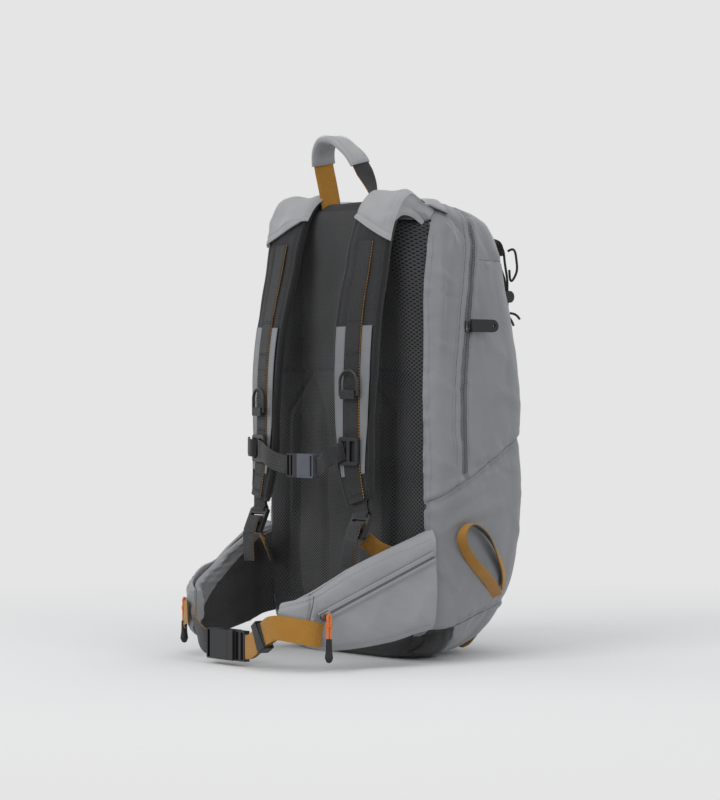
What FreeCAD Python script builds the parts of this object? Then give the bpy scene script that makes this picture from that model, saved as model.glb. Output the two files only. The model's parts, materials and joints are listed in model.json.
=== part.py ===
import FreeCAD, Part
import math
import os

# Ski backpack: a slim panel-loading pack with a padded mesh back, yoked shoulder straps,
# a sternum strap, a hip belt with two zipped wing pockets, ski loops and a pole cord.
# Row frame: +Z up, +X to the wearer's left-hand side of the harness view, -Y towards the wearer.
# The origin is the middle of the flat rest area under the base.
# Widths, lengths and thicknesses are millimetres and live in the spreadsheet "Sheet".

App = FreeCAD
V = App.Vector
doc = App.newDocument("ski_backpack")
sheet = doc.addObject("Spreadsheet::Sheet", "Sheet")

CELLS = [
    # the bag
    ("back_y", -80.0), ("bag_wall", 3.0), ("layer_gap", 0.2), ("foam_depth", 13.0), ("frame_thick", 1.5),
    ("bag_height", 475.0), ("side_bulge", 3.0), ("front_bulge", 5.0), ("zip_width", 8.0),
    ("diag_z", 163.0), ("diag_slope", 0.41), ("base_z", 26.0), ("base_slope", 0.2), 
    ("boot_y", 50.0),
    # harness
    ("strap_x", 74.5), ("strap_thick", 11.0), ("strap_width", 60.0), ("strap_low_width", 50.0), ("strap_end_width", 36.0),
    ("strap_turn", 10.0), ("yoke_thick", 2.2), ("yoke_width", 66.0),
    ("web_small", 20.0), ("web_thick", 1.5), ("web_large", 25.0),
    ("strip_width", 13.0), ("strip_thick", 0.5),
    # D-ring
    ("dring_inner", 20.0), ("dring_wire", 1.6), ("dring_height", 13.0), ("dring_z", 275.0), ("dring_z_left", 256.0),
    ("keeper_height", 9.0), ("keeper_depth", 5.6), ("keeper_bore", 1.9),
    # ladder lock
    ("lock_width", 29.0), ("lock_height", 27.0), ("lock_thick", 4.4), ("lock_slot", 5.0), ("lock_bar", 4.2), ("lock_slot_w", 21.5),
    # sternum slider
    ("slider_width", 26.0), ("slider_height", 29.0), ("slider_thick", 3.0), ("slider_slot", 7.0), ("slider_slot_h", 21.0), ("slider_bar", 4.0),
    ("sternum_z", 217.0), ("sternum_drop", 16.0),
    # sternum buckle
    ("sb_width", 25.0), ("sb_thick", 9.0), ("sb_female", 27.0), ("sb_cav_w", 20.6), ("sb_cav_h", 5.4), ("sb_cav_d", 19.0),
    ("sb_window", 9.5), ("sb_window_x", 5.0), ("sb_bar_slot", 3.0), ("sb_base", 7.0), ("sb_ladder", 13.0), ("sb_slot", 3.4),
    ("sb_arm_w", 3.0), ("sb_arm_h", 4.2), ("sb_arm_l", 16.0), ("sb_guide_w", 4.6), ("sb_guide_l", 13.0), ("sb_barb", 2.2), ("sb_barb_l", 6.0), ("sb_barb_x", 7.0),
    # hip buckle
    ("hb_width", 31.0), ("hb_thick", 12.0), ("hb_female", 35.0), ("hb_cav_w", 27.4), ("hb_cav_h", 7.4), ("hb_cav_d", 25.0),
    ("hb_window", 12.5), ("hb_window_x", 7.0), ("hb_bar_slot", 4.0), ("hb_base", 9.0), ("hb_ladder", 17.0), ("hb_slot", 4.2),
    ("hb_arm_w", 4.0), ("hb_arm_h", 5.8), ("hb_arm_l", 22.0), ("hb_guide_w", 6.0), ("hb_guide_l", 18.0), ("hb_barb", 2.9), ("hb_barb_l", 8.0), ("hb_barb_x", 9.5),
    # hip belt
    ("wing_pad", 8.0), ("wing_shell", 11.0), ("wing_gap", 0.4), ("wing_root_h", 102.0),
    ("hip_zip_w", 9.0), ("hip_zip_t", 1.2), ("hip_slider_l", 11.0), ("hip_slider_w", 8.0), ("hip_slider_t", 3.6),
    ("pull_cord_r", 1.2), ("pull_cord_gap", 1.5), ("pull_cord_l", 22.0), ("pull_grip_r", 3.2), ("pull_grip_l", 17.0), ("pull_ball_r", 4.2),
    ("keeper_out_w", 31.4), ("keeper_out_t", 12.4), ("keeper_in_w", 29.0), ("keeper_in_t", 10.4),
    # haul handle
    ("haul_grip_w", 29.0), ("haul_grip_t", 5.6), ("haul_slot_w", 26.2), ("haul_slot_t", 2.6),
    # main zip slider and pull
    ("mzip_l", 12.0), ("mzip_w", 8.5), ("mzip_t", 3.4), ("tab_len", 34.0), ("tab_w", 13.0), ("tab_t", 3.0), ("tab_hole", 1.6), ("tab_heel", 1.1),
    # cord and cord lock
    ("cord_r", 1.3), ("clock_r", 6.4), ("clock_l", 13.0), ("clock_wall", 1.5), ("clock_slot_w", 6.6), ("clock_slot_h", 3.8),
    ("plunger_r", 4.6), ("plunger_l", 12.0), ("plunger_cap_r", 6.6), ("plunger_cap_l", 6.0), ("spring_wire", 0.5), ("spring_r", 3.2),
    # ski loops and tool loop
    ("ski_web", 14.0), ("ski_thick", 2.0), ("tool_web", 10.0), ("base_strap_w", 22.0), ("base_strap_t", 1.4),
]
ROW = {}
for i, (alias, value) in enumerate(CELLS):
    cell = "B%d" % (i + 1)
    sheet.set("A%d" % (i + 1), alias)
    sheet.set(cell, repr(value))
    sheet.setAlias(cell, alias)
    ROW[alias] = cell
doc.recompute()


def S(alias):
    return float(sheet.get(alias))


BY = S("back_y")
NODES = []


def P(x, y, z):
    """A point given from the back panel's plane, in the row frame."""
    return V(x, y + BY, z)


def feature(label, shape):
    """A sub-part whose free-form shape is made with Part's own functions."""
    o = doc.addObject("Part::Feature", label)
    o.Label = label
    o.Shape = shape
    NODES.append(o)
    return o


def hide_source(label, shape):
    o = doc.addObject("Part::Feature", label)
    o.Label = label
    o.Shape = shape
    return o


def mirror_x(shape):
    return shape.mirror(V(0, 0, 0), V(1, 0, 0))


# ---------------------------------------------------------------- sketch helpers
def plane_of(body, role):
    return [f for f in body.Origin.OriginFeatures if f.Role == role][0]


def sketch(body, name, role="XY_Plane", offset=None):
    sk = body.newObject("Sketcher::SketchObject", name)
    sk.AttachmentSupport = (plane_of(body, role), [""])
    sk.MapMode = "FlatFace"
    if offset is not None:
        if isinstance(offset, str):
            sk.setExpression("AttachmentOffset.Base.z", offset)
        else:
            sk.AttachmentOffset = App.Placement(V(0, 0, offset), App.Rotation())
    return sk


def driven(sk, constraint, expression):
    """Adds a distance constraint and ties it to the sheet. Constraint is its arguments with a first value last."""
    import Sketcher
    n = sk.addConstraint(Sketcher.Constraint(*constraint))
    sk.setExpression("Constraints[%d]" % n, expression)
    return n


def rect(sk, w, tall, cx=None, cy=None, at=(10.0, 10.0, 0.0, 0.0)):
    """A rectangle of w by tall, both expressions, centred on the origin or on (cx, cy)."""
    import Sketcher
    w0, t0, x0, y0 = at
    a, b = V(x0 - w0 / 2, y0 - t0 / 2, 0), V(x0 + w0 / 2, y0 - t0 / 2, 0)
    c, d = V(x0 + w0 / 2, y0 + t0 / 2, 0), V(x0 - w0 / 2, y0 + t0 / 2, 0)
    n = [sk.addGeometry(Part.LineSegment(p, q), False) for p, q in ((a, b), (b, c), (c, d), (d, a))]
    for i in range(4):
        sk.addConstraint(Sketcher.Constraint("Coincident", n[i], 2, n[(i + 1) % 4], 1))
    sk.addConstraint(Sketcher.Constraint("Horizontal", n[0]))
    sk.addConstraint(Sketcher.Constraint("Horizontal", n[2]))
    sk.addConstraint(Sketcher.Constraint("Vertical", n[1]))
    sk.addConstraint(Sketcher.Constraint("Vertical", n[3]))
    driven(sk, ("DistanceX", n[0], 1, n[0], 2, w0), w)
    driven(sk, ("DistanceY", n[1], 1, n[1], 2, t0), tall)
    if cx is None and cy is None:
        sk.addConstraint(Sketcher.Constraint("Symmetric", n[0], 1, n[1], 2, -1, 1))
    else:
        driven(sk, ("DistanceX", -1, 1, n[0], 1, x0 - w0 / 2), "(%s) - (%s) / 2" % (cx or "0", w))
        driven(sk, ("DistanceY", -1, 1, n[0], 1, y0 - t0 / 2), "(%s) - (%s) / 2" % (cy or "0", tall))


def circle(sk, r, cx=None, cy=None, at=(5.0, 0.0, 0.0)):
    import Sketcher
    r0, x0, y0 = at
    n = sk.addGeometry(Part.Circle(V(x0, y0, 0), V(0, 0, 1), r0), False)
    driven(sk, ("Radius", n, r0), r)
    if cx is None and cy is None:
        sk.addConstraint(Sketcher.Constraint("Coincident", n, 3, -1, 1))
    else:
        driven(sk, ("DistanceX", -1, 1, n, 3, x0), cx or "0")
        driven(sk, ("DistanceY", -1, 1, n, 3, y0), cy or "0")


def pad(body, sk, length, midplane=True, name="Pad"):
    f = body.newObject("PartDesign::Pad", name)
    f.Profile = sk
    f.setExpression("Length", length)
    if midplane:
        f.SideType = "Symmetric" if "SideType" in f.PropertiesList else f.SideType
        if "Midplane" in f.PropertiesList and "SideType" not in f.PropertiesList:
            f.Midplane = True
    doc.recompute()
    return f


def pocket(body, sk, length=None, midplane=True, name="Pocket"):
    before = body.Shape.Volume
    f = body.newObject("PartDesign::Pocket", name)
    f.Profile = sk
    if length is None:
        f.Type = "ThroughAll"
        f.SideType = "Symmetric" if "SideType" in f.PropertiesList else f.SideType
    else:
        f.setExpression("Length", length)
        if midplane:
            f.SideType = "Symmetric"
    doc.recompute()
    if not body.Shape.Volume < before - 1e-3:
        f.Reversed = True
        doc.recompute()
    if not body.Shape.Volume < before - 1e-3:
        raise RuntimeError("pocket %s in %s removes nothing" % (name, body.Label))
    return f


def new_body(label, place=None):
    b = doc.addObject("PartDesign::Body", label)
    b.Label = label
    NODES.append(b)
    return b


def frame_of(origin, xdir, zdir):
    """The placement whose local x is xdir and local z is near zdir, at origin."""
    x = V(xdir).normalize()
    y = V(zdir).cross(x).normalize()
    z = x.cross(y)
    m = App.Matrix(x.x, y.x, z.x, origin.x, x.y, y.y, z.y, origin.y, x.z, y.z, z.z, origin.z, 0, 0, 0, 1)
    return App.Placement(m)


def fillet_long(body, r, test, name="Fillet"):
    """Rounds the edges of the body's tip that pass the test, if the rounding is possible."""
    tip = body.Tip
    names = ["Edge%d" % (i + 1) for i, e in enumerate(tip.Shape.Edges) if test(e)]
    if not names:
        return None
    f = body.newObject("PartDesign::Fillet", name)
    f.Base = (tip, names)
    f.Radius = r
    doc.recompute()
    if not f.isValid() or body.Shape.isNull() or not body.Shape.isValid():
        body.removeObject(f)
        doc.removeObject(f.Name)
        body.Tip = tip
        doc.recompute()
        return None
    return f


def along(axis):
    d = {"x": V(1, 0, 0), "y": V(0, 1, 0), "z": V(0, 0, 1)}[axis]

    def test(e):
        if e.Curve.TypeId != "Part::GeomLine":
            return False
        t = e.tangentAt(e.FirstParameter)
        return abs(abs(t.dot(d)) - 1) < 1e-6
    return test


# ---------------------------------------------------------------- free-form helpers
def spline_points(pts, count, closed=False):
    """Evenly spaced points on a smooth curve through pts."""
    c = Part.BSplineCurve()
    c.interpolate(Points=list(pts), PeriodicFlag=closed)
    e = c.toShape()
    n = count if closed else count - 1
    out = []
    for i in range(count):
        out.append(c.value(c.parameterAtDistance(e.Length * i / n, c.FirstParameter)))
    return out


def mix(values, i, count):
    """Values spread evenly over count stations, with straight lines between them."""
    if not isinstance(values, (list, tuple)):
        return values
    t = i / (count - 1.0) * (len(values) - 1)
    k = min(int(t), len(values) - 2)
    a, b = values[k], values[k + 1]
    return a + (b - a) * (t - k)


def stations(pts, wdirs, count=14, upright=False):
    """Points, tangents, width directions and normals along a path. Normal = tangent x width."""
    path = spline_points(pts, count)
    out = []
    for i, p in enumerate(path):
        a, b = path[max(i - 1, 0)], path[min(i + 1, count - 1)]
        t = (b - a).normalize()
        w = V(mix(wdirs, i, count))
        if not upright:
            w = (w - t * w.dot(t)).normalize()
        n = t.cross(w).normalize()
        out.append((p, t, w, n))
    return out


def ribbon(st, width, thick, off=0.0, side=0.0, bevel=0.0, first=0, last=None):
    """A closed band along stations: width along w, thickness along n, its middle moved by off along n and by side along w."""
    last = len(st) - 1 if last is None else last
    wires = []
    for i in range(first, last + 1):
        p, t, w, n = st[i]
        hw, ht = mix(width, i - first, last - first + 1) / 2.0, mix(thick, i - first, last - first + 1) / 2.0
        c = p + n * mix(off, i - first, last - first + 1) + w * mix(side, i - first, last - first + 1)
        b = min(bevel, hw * 0.9, ht * 0.9)
        if b > 0:
            corners = [(-hw + b, -ht), (hw - b, -ht), (hw, -ht + b), (hw, ht - b), (hw - b, ht), (-hw + b, ht), (-hw, ht - b), (-hw, -ht + b)]
        else:
            corners = [(-hw, -ht), (hw, -ht), (hw, ht), (-hw, ht)]
        ring = [c + w * u + n * v for u, v in corners]
        wires.append(Part.makePolygon(ring + [ring[0]]))
    s = Part.makeLoft(wires, True, False)
    if s.Volume < 0:
        s.reverse()
    return s


def tube(pts, r, closed=False):
    """A round cord along a smooth path."""
    c = Part.BSplineCurve()
    c.interpolate(Points=list(pts), PeriodicFlag=closed)
    spine = Part.Wire([c.toShape()])
    p0 = c.value(c.FirstParameter)
    t0 = c.tangent(c.FirstParameter)[0]
    ring = Part.Wire([Part.Circle(p0, t0, r).toShape()])
    s = spine.makePipeShell([ring], True, False)
    if s.ShapeType != "Solid":
        s = Part.Solid(s)
    if s.Volume < 0:
        s.reverse()
    return s


# ---------------------------------------------------------------- the bag's surface
# height, back and front depth, half width at the back and the front, corner radius at the back and the front
SECTIONS = [
    (0.0, 14.0, 98.0, 84.0, 70.0, 40.0, 44.0), (7.0, 5.0, 115.0, 104.0, 84.0, 36.0, 48.0), (23.0, 0.0, 137.0, 127.0, 96.0, 30.0, 50.0),
    (60.0, 0.0, 160.0, 136.0, 108.0, 23.0, 46.0), (102.0, 0.0, 170.0, 138.5, 112.0, 20.0, 44.0), (165.0, 0.0, 175.0, 138.5, 113.0, 20.0, 42.0),
    (218.0, 0.0, 174.0, 136.5, 113.0, 21.0, 42.0), (271.0, 0.0, 172.0, 133.0, 112.0, 23.0, 42.0), (345.0, 0.0, 165.0, 126.0, 108.0, 28.0, 42.0),
    (388.0, 0.0, 159.0, 121.0, 104.0, 33.0, 42.0), (434.0, 0.0, 152.0, 114.0, 99.0, 40.0, 41.0), (454.0, 1.0, 144.0, 108.0, 94.0, 42.0, 43.0),
    (465.0, 4.0, 130.0, 101.0, 87.0, 44.0, 46.0), (475.0, 13.0, 98.0, 84.0, 70.0, 40.0, 42.0),
]


def ring_points(z, yb, yf, wb, wf, rb, rf, inset):
    """A rounded trapezoid with slightly bulged sides, as 36 points in step from section to section."""
    yb, yf, wb, wf = yb + inset, yf - inset, wb - inset, wf - inset
    rb, rf = max(rb - inset, 4.0), max(rf - inset, 4.0)
    sb, fb = S("side_bulge"), S("front_bulge")
    pts = []

    def arc(cx, cy, r, a0, a1):
        for i in range(5):
            a = math.radians(a0 + (a1 - a0) * i / 4.0)
            pts.append((cx + r * math.cos(a), cy + r * math.sin(a)))

    def run(p, q, n, bx, by):
        for i in range(1, n + 1):
            t = i / (n + 1.0)
            k = 4 * t * (1 - t)
            pts.append((p[0] + (q[0] - p[0]) * t + bx * k, p[1] + (q[1] - p[1]) * t + by * k))
    lean = math.degrees(math.atan2(wb - wf, yf - yb))
    br, fr_, fl, bl = (wb - rb, yb + rb), (wf - rf, yf - rf), (-wf + rf, yf - rf), (-wb + rb, yb + rb)
    ca, sa = math.cos(math.radians(lean)), math.sin(math.radians(lean))
    run((br[0] + rb * ca, br[1] + rb * sa), (fr_[0] + rf * ca, fr_[1] + rf * sa), 3, sb, 0)
    arc(fr_[0], fr_[1], rf, lean, 90)
    run((fr_[0], yf), (fl[0], yf), 5, 0, fb)
    arc(fl[0], fl[1], rf, 90, 180 - lean)
    run((fl[0] - rf * ca, fl[1] + rf * sa), (bl[0] - rb * ca, bl[1] + rb * sa), 3, -sb, 0)
    arc(bl[0], bl[1], rb, 180 - lean, 270)
    run((bl[0], yb), (br[0], yb), 5, 0, 0)
    arc(br[0], br[1], rb, -90, lean)
    return [P(x, y, z) for x, y in pts]


def bag(inset, zlow, zhigh):
    wires = []
    rows = []
    top = SECTIONS[-1][0]
    for k, row in enumerate(SECTIONS):
        z = row[0] * S("bag_height") / top
        if k == 0:
            z = zlow
        elif k == len(SECTIONS) - 1:
            z = zhigh
        elif z < 12 or z > 460:
            z = z + inset * 0.8 if z < 12 else z - inset * 0.8
        rows.append((z,) + row[1:])
    for r in rows:
        c = Part.BSplineCurve()
        c.interpolate(Points=ring_points(*r, inset=inset), PeriodicFlag=True)
        wires.append(Part.Wire([c.toShape()]))
    s = Part.makeLoft(wires, True, False)
    if s.Volume < 0:
        s.reverse()
    return s


WALL, GAP = S("bag_wall"), S("layer_gap")
BH = S("bag_height")
OUTER = bag(0.0, 0.0, BH)
INNER = bag(WALL, WALL, BH - WALL)
CORE = bag(WALL + GAP, WALL + GAP, BH - WALL - GAP)
SHELL = OUTER.cut(INNER)
hide_source("bag_outer_form", OUTER)


def yz_block(points, x0=-320.0, x1=320.0):
    """A block over a region of the side view, given as depth and height pairs, spanning x0 to x1."""
    w = Part.makePolygon([P(x0, y, z) for y, z in points] + [P(x0, points[0][0], points[0][1])])
    return Part.Face(w).extrude(V(x1 - x0, 0, 0))


def zip_y(z):
    """Depth of the main zip line on the side at a height."""
    table = [(150, 62.0), (190, 60.5), (240, 58.5), (290, 59.0), (420, 83.0), (450, 88.0), (470, 89.0), (520, 89.0)]
    for (z0, y0), (z1, y1) in zip(table, table[1:]):
        if z0 <= z <= z1:
            return y0 + (y1 - y0) * (z - z0) / (z1 - z0)
    return table[-1][1]


def mesh_y(z):
    """Depth where the mesh back panel meets the side fabric."""
    table = [(0, 8.5), (190, 8.5), (276, 12.5), (384, 23.0), (444, 36.0), (462, 44.0), (520, 50.0)]
    for (z0, y0), (z1, y1) in zip(table, table[1:]):
        if z0 <= z <= z1:
            return y0 + (y1 - y0) * (z - z0) / (z1 - z0)
    return table[-1][1]


ZS = [150, 190, 240, 290, 420, 450, 470, 520]
MS = [0, 190, 276, 384, 444, 462, 520]
HW = S("zip_width") / 2.0
g = GAP / 2.0
dz, ds = S("diag_z"), S("diag_slope")
bz, bs = S("base_z"), S("base_slope")
behind_mesh = [(mesh_y(z) + g, z) for z in MS]
mesh_block = yz_block([(-60, bz), (-60, 520)] + [(mesh_y(z) - g, z) for z in reversed([bz] + [m for m in MS if m > bz])])
fabric_block = yz_block([(mesh_y(z) + g, z) for z in MS] + [(260, 520), (260, 0)])
above_diag = yz_block([(-60, dz - 60 * ds + g), (260, dz + 260 * ds + g), (260, 520), (-60, 520)])
below_diag = yz_block([(-60, dz - 60 * ds - g), (260, dz + 260 * ds - g), (260, bz + 260 * bs + g), (-60, bz - 60 * bs + g)])
below_base = yz_block([(-60, bz - 60 * bs - g), (260, bz + 260 * bs - g), (260, -20), (-60, -20)])
gusset_block = yz_block([(-60, 150), (-60, 520)] + [(zip_y(z) - HW - g, z) for z in reversed(ZS)])
zip_block = yz_block([(zip_y(z) - HW, z) for z in ZS] + [(zip_y(z) + HW, z) for z in reversed(ZS)])
front_block = yz_block([(zip_y(z) + HW + g, z) for z in ZS] + [(260, 520), (260, 150)])
by0, by1 = S("boot_y") - g, mesh_y(0) + g
boot_block = yz_block([(-60, -20), (by0, -20), (by0, bz + by0 * bs - GAP), (by1, bz + by1 * bs - GAP), (by1, bz - g), (-60, bz - g)])
base_block = yz_block([(S("boot_y") + g, -20), (260, -20), (260, 90), (S("boot_y") + g, 90)])

def biggest(shape, keep=1):
    s = sorted(shape.Solids, key=lambda q: -q.Volume)[:keep]
    return s[0] if keep == 1 else Part.makeCompound(s)


gusset = SHELL.common(fabric_block).common(above_diag).common(gusset_block)
feature("back_mesh_panel", biggest(SHELL.common(mesh_block)))
feature("gusset_panel", biggest(gusset))
feature("main_zipper_tape", biggest(SHELL.common(above_diag).common(zip_block)))
feature("front_panel", biggest(SHELL.common(above_diag).common(front_block)))
lower = SHELL.common(fabric_block).common(below_diag)
feature("lower_wrap_panel", biggest(lower))
feature("base_panel", biggest(SHELL.common(below_base).common(base_block)))
feature("base_boot", biggest(SHELL.common(boot_block)))
fd = S("foam_depth")
feature("back_foam", biggest(CORE.common(yz_block([(-60, 30), (fd, 30), (fd, 464), (-60, 464)]))))
feature("frame_sheet", biggest(CORE.common(yz_block([(fd + GAP, 32), (fd + GAP + S("frame_thick"), 32), (fd + GAP + S("frame_thick"), 456), (fd + GAP, 456)])).common(Part.makeBox(230, 400, 600, V(-115, -200, 0)))))


def surface_at(axis, a, b):
    """The bag's outer surface: axis 'x' takes depth and height and gives x on the +X side; axis 'y' takes x and height and gives the front's depth."""
    if axis == "x":
        line = Part.makeLine(P(0, a, b), P(300, a, b))
    else:
        line = Part.makeLine(P(a, 60, b), P(a, 300, b))
    c = line.common(OUTER)
    e = max(c.Vertexes, key=lambda q: (q.Point.x if axis == "x" else q.Point.y))
    return e.Point.x if axis == "x" else e.Point.y - BY


# ---------------------------------------------------------------- shoulder straps
turn = math.radians(S("strap_turn"))
WD = V(math.cos(turn), math.sin(turn), 0)
sx = S("strap_x")
strap_path = [P(80, 62, 479), P(77.5, 50, 481.2), P(75.5, 36, 481.8), P(74, 18, 482.3), P(73, 2, 476), P(72.5, -9, 461.5), P(71.5, -16, 444), P(71, -24.5, 405), P(71.5, -33.5, 365),
              P(sx - 1, -39.5, 325), P(sx, -42, 285), P(sx, -42.5, 240), P(sx + 2, -43, 205), P(sx + 6.5, -43, 178), P(sx + 10, -43, 165)]
wd_list = [V(1, 0.0, 0), V(1, 0.0, 0), V(1, 0.1, 0), WD, WD, WD, WD]
st = stations(strap_path, wd_list, 42)
ft, wt = S("strap_thick"), S("web_thick")
# the path runs down the wearer's side, so one sign of the normal is the outer face
foam_r = ribbon(st, [S("strap_width")] * 5 + [S("strap_low_width")] * 2 + [S("strap_end_width")], ft, bevel=3.5, first=3)
front_off = ft / 2.0
sign = 1.0 if st[30][3].y < 0 else -1.0
web_r = ribbon(st, S("web_small"), wt, off=sign * (front_off + 0.2 + wt / 2), first=12, last=41)
yoke_r = ribbon(st, [S("yoke_width") - 4, S("yoke_width"), S("yoke_width")], S("yoke_thick"), off=[sign * (front_off + 0.4 + S("yoke_thick") / 2) * v for v in (-0.2, 0.05, 0.5, 1, 1, 1, 1, 1, 1, 1, 1, 1)], first=0, last=11)
sw, stt = S("strip_width"), S("strip_thick")
strips = []
for s in (-1, 1):
    strips.append(ribbon(st, [sw, sw * 0.8, sw * 0.45, 2.0], stt, off=sign * (front_off + 0.1 + stt / 2), side=[s * (11.2 + sw / 2), s * (11.2 + sw * 0.4), s * (11.2 + sw * 0.225), s * 12.4], first=18, last=38))
strips_r = Part.makeCompound(strips)
for label, shape in (("shoulder_strap", foam_r), ("strap_webbing", web_r), ("yoke_cover", yoke_r), ("reflective_strips", strips_r)):
    feature(label + "_right", shape)
    feature(label + "_left", mirror_x(shape))

# ---------------------------------------------------------------- D-rings and their keepers
n_out = V(math.sin(turn), -math.cos(turn), 0)
WDL = V(WD.x, -WD.y, 0)
n_outl = V(-n_out.x, n_out.y, 0)
dz0, dz1 = S("dring_z"), S("dring_z_left")
ring_off = front_off + 0.2 + wt + 0.5 + S("keeper_depth") / 2.0


def strap_point(side, z, off):
    p = P(sx, -42.5, z) + n_out * off
    return p if side > 0 else V(-p.x, p.y, p.z)


def d_ring(label, side):
    """A wire D: a straight bar, two legs and a half-round bow, all of one round section."""
    parts = []
    bar = doc.addObject("Part::Cylinder", label + "_bar")
    bar.setExpression("Radius", "Sheet.dring_wire")
    bar.setExpression("Height", "Sheet.dring_inner + 2 * Sheet.dring_wire")
    bar.setExpression("Placement.Base.x", "-(Sheet.dring_inner + 2 * Sheet.dring_wire) / 2")
    bar.Placement.Rotation = App.Rotation(V(0, 1, 0), 90)
    parts.append(bar)
    for k, s in (("a", -1), ("b", 1)):
        leg = doc.addObject("Part::Cylinder", label + "_leg_" + k)
        leg.setExpression("Radius", "Sheet.dring_wire")
        leg.setExpression("Height", "Sheet.dring_height")
        leg.setExpression("Placement.Base.x", "%d * (Sheet.dring_inner / 2 + Sheet.dring_wire)" % s)
        parts.append(leg)
        ball = doc.addObject("Part::Sphere", label + "_corner_" + k)
        ball.setExpression("Radius", "Sheet.dring_wire")
        ball.setExpression("Placement.Base.x", "%d * (Sheet.dring_inner / 2 + Sheet.dring_wire)" % s)
        parts.append(ball)
    bow = doc.addObject("Part::Torus", label + "_bow")
    bow.setExpression("Radius1", "Sheet.dring_inner / 2 + Sheet.dring_wire")
    bow.setExpression("Radius2", "Sheet.dring_wire")
    bow.setExpression("Placement.Base.z", "Sheet.dring_height")
    bow.Angle3 = 180
    bow.Placement.Rotation = App.Rotation(V(1, 0, 0), 90)
    parts.append(bow)
    fuse = doc.addObject("Part::MultiFuse", label)
    fuse.Label = label
    fuse.Shapes = parts
    NODES.append(fuse)
    doc.recompute()
    wd = WD if side > 0 else WDL
    fuse.Placement = frame_of(strap_point(side, dz0 if side > 0 else dz1, ring_off), wd, V(0, 0, 1))
    return fuse


def d_keeper(label, side):
    b = new_body(label)
    sk = sketch(b, label + "_outline", "XZ_Plane")
    rect(sk, "Sheet.dring_inner - 1", "Sheet.keeper_height")
    pad(b, sk, "Sheet.keeper_depth")
    sk2 = sketch(b, label + "_bore", "YZ_Plane")
    circle(sk2, "Sheet.keeper_bore")
    pocket(b, sk2)
    fillet_long(b, 1.0, along("x"), label + "_round")
    wd = WD if side > 0 else WDL
    b.Placement = frame_of(strap_point(side, dz0 if side > 0 else dz1, ring_off), wd, V(0, 0, 1))


for side, tag in ((1, "right"), (-1, "left")):
    d_ring("d_ring_" + tag, side)
    d_keeper("d_ring_keeper_" + tag, side)


# ---------------------------------------------------------------- ladder locks, their webbing
def ladder_lock(label, place):
    b = new_body(label)
    sk = sketch(b, label + "_outline")
    rect(sk, "Sheet.lock_width", "Sheet.lock_height")
    pad(b, sk, "Sheet.lock_thick")
    for k, s in (("top", 1), ("low", -1)):
        sk2 = sketch(b, label + "_slot_" + k)
        rect(sk2, "Sheet.lock_slot_w", "Sheet.lock_slot", "0", "%d * (Sheet.lock_slot / 2 + Sheet.lock_bar / 2)" % s, at=(20, 5, 0, 5 * s))
        pocket(b, sk2, name="Slot_" + k)
    fillet_long(b, 2.5, lambda e: along("z")(e) and abs(abs(e.Vertexes[0].X) - S("lock_width") / 2) < 0.01, label + "_corners")
    b.Placement = place
    return b


lock_tilt = math.radians(24)
lock_c = strap_point(1, 140.0, 5.0) + V(11, 0, 0)
lock_y = V(0, math.sin(lock_tilt), math.cos(lock_tilt))  # the plate leans out at its foot


def lock_place(side):
    c = lock_c if side > 0 else V(-lock_c.x, lock_c.y, lock_c.z)
    x = V(1, 0, 0)
    y = lock_y
    z = x.cross(y)
    m = App.Matrix(x.x, y.x, z.x, c.x, x.y, y.y, z.y, c.y, x.z, y.z, z.z, c.z, 0, 0, 0, 1)
    return App.Placement(m)


ladder_lock("ladder_lock_right", lock_place(1))
ladder_lock("ladder_lock_left", lock_place(-1))
# the lower webbing runs from behind the lock to the pack's lower corner, and its tail hangs free
low_path = [P(sx + 13, -40.5, 127), P(sx + 22, -32, 117), P(sx + 34, -18, 109), P(sx + 44, -7, 102)]
lst = stations(low_path, [V(0.9, 0.3, 0.35), V(0.75, 0.25, 0.6), V(0.55, 0.2, 0.8)], 10)
low_r = ribbon(lst, S("web_small"), wt)
tail_path = [P(sx + 11, -58.5, 126.5), P(sx + 10, -60, 111), P(sx + 9, -59.5, 97)]
tst = stations(tail_path, [V(1, 0, 0), V(1, 0.1, 0)], 6)
tail_r = ribbon(tst, S("web_small"), wt)
low_r = Part.makeCompound([low_r, tail_r])
feature("lower_webbing_right", low_r)
feature("lower_webbing_left", mirror_x(low_r))


# ---------------------------------------------------------------- sternum strap
def sternum_slider(label, side):
    b = new_body(label)
    sk = sketch(b, label + "_outline")
    rect(sk, "Sheet.slider_width", "Sheet.slider_height")
    pad(b, sk, "Sheet.slider_thick")
    for k, s in (("out", 1), ("in", -1)):
        sk2 = sketch(b, label + "_slot_" + k)
        rect(sk2, "Sheet.slider_slot", "Sheet.slider_slot_h", "%d * (Sheet.slider_slot / 2 + Sheet.slider_bar / 2)" % s, "0", at=(6, 20, 6 * s, 0))
        pocket(b, sk2, name="Slot_" + k)
    fillet_long(b, 3.0, lambda e: along("z")(e) and abs(abs(e.Vertexes[0].X) - S("slider_width") / 2) < 0.01, label + "_corners")
    wd = WD if side > 0 else WDL
    c = strap_point(side, S("sternum_z"), front_off + 0.2 + wt + 1.2 + S("slider_thick") / 2)
    x, y = wd, V(0, 0, 1)
    z = x.cross(y)
    m = App.Matrix(x.x, y.x, z.x, c.x, x.y, y.y, z.y, c.y, x.z, y.z, z.z, c.z, 0, 0, 0, 1)
    b.Placement = App.Placement(m)
    return b


sternum_slider("sternum_slider_right", 1)
sternum_slider("sternum_slider_left", -1)


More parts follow.
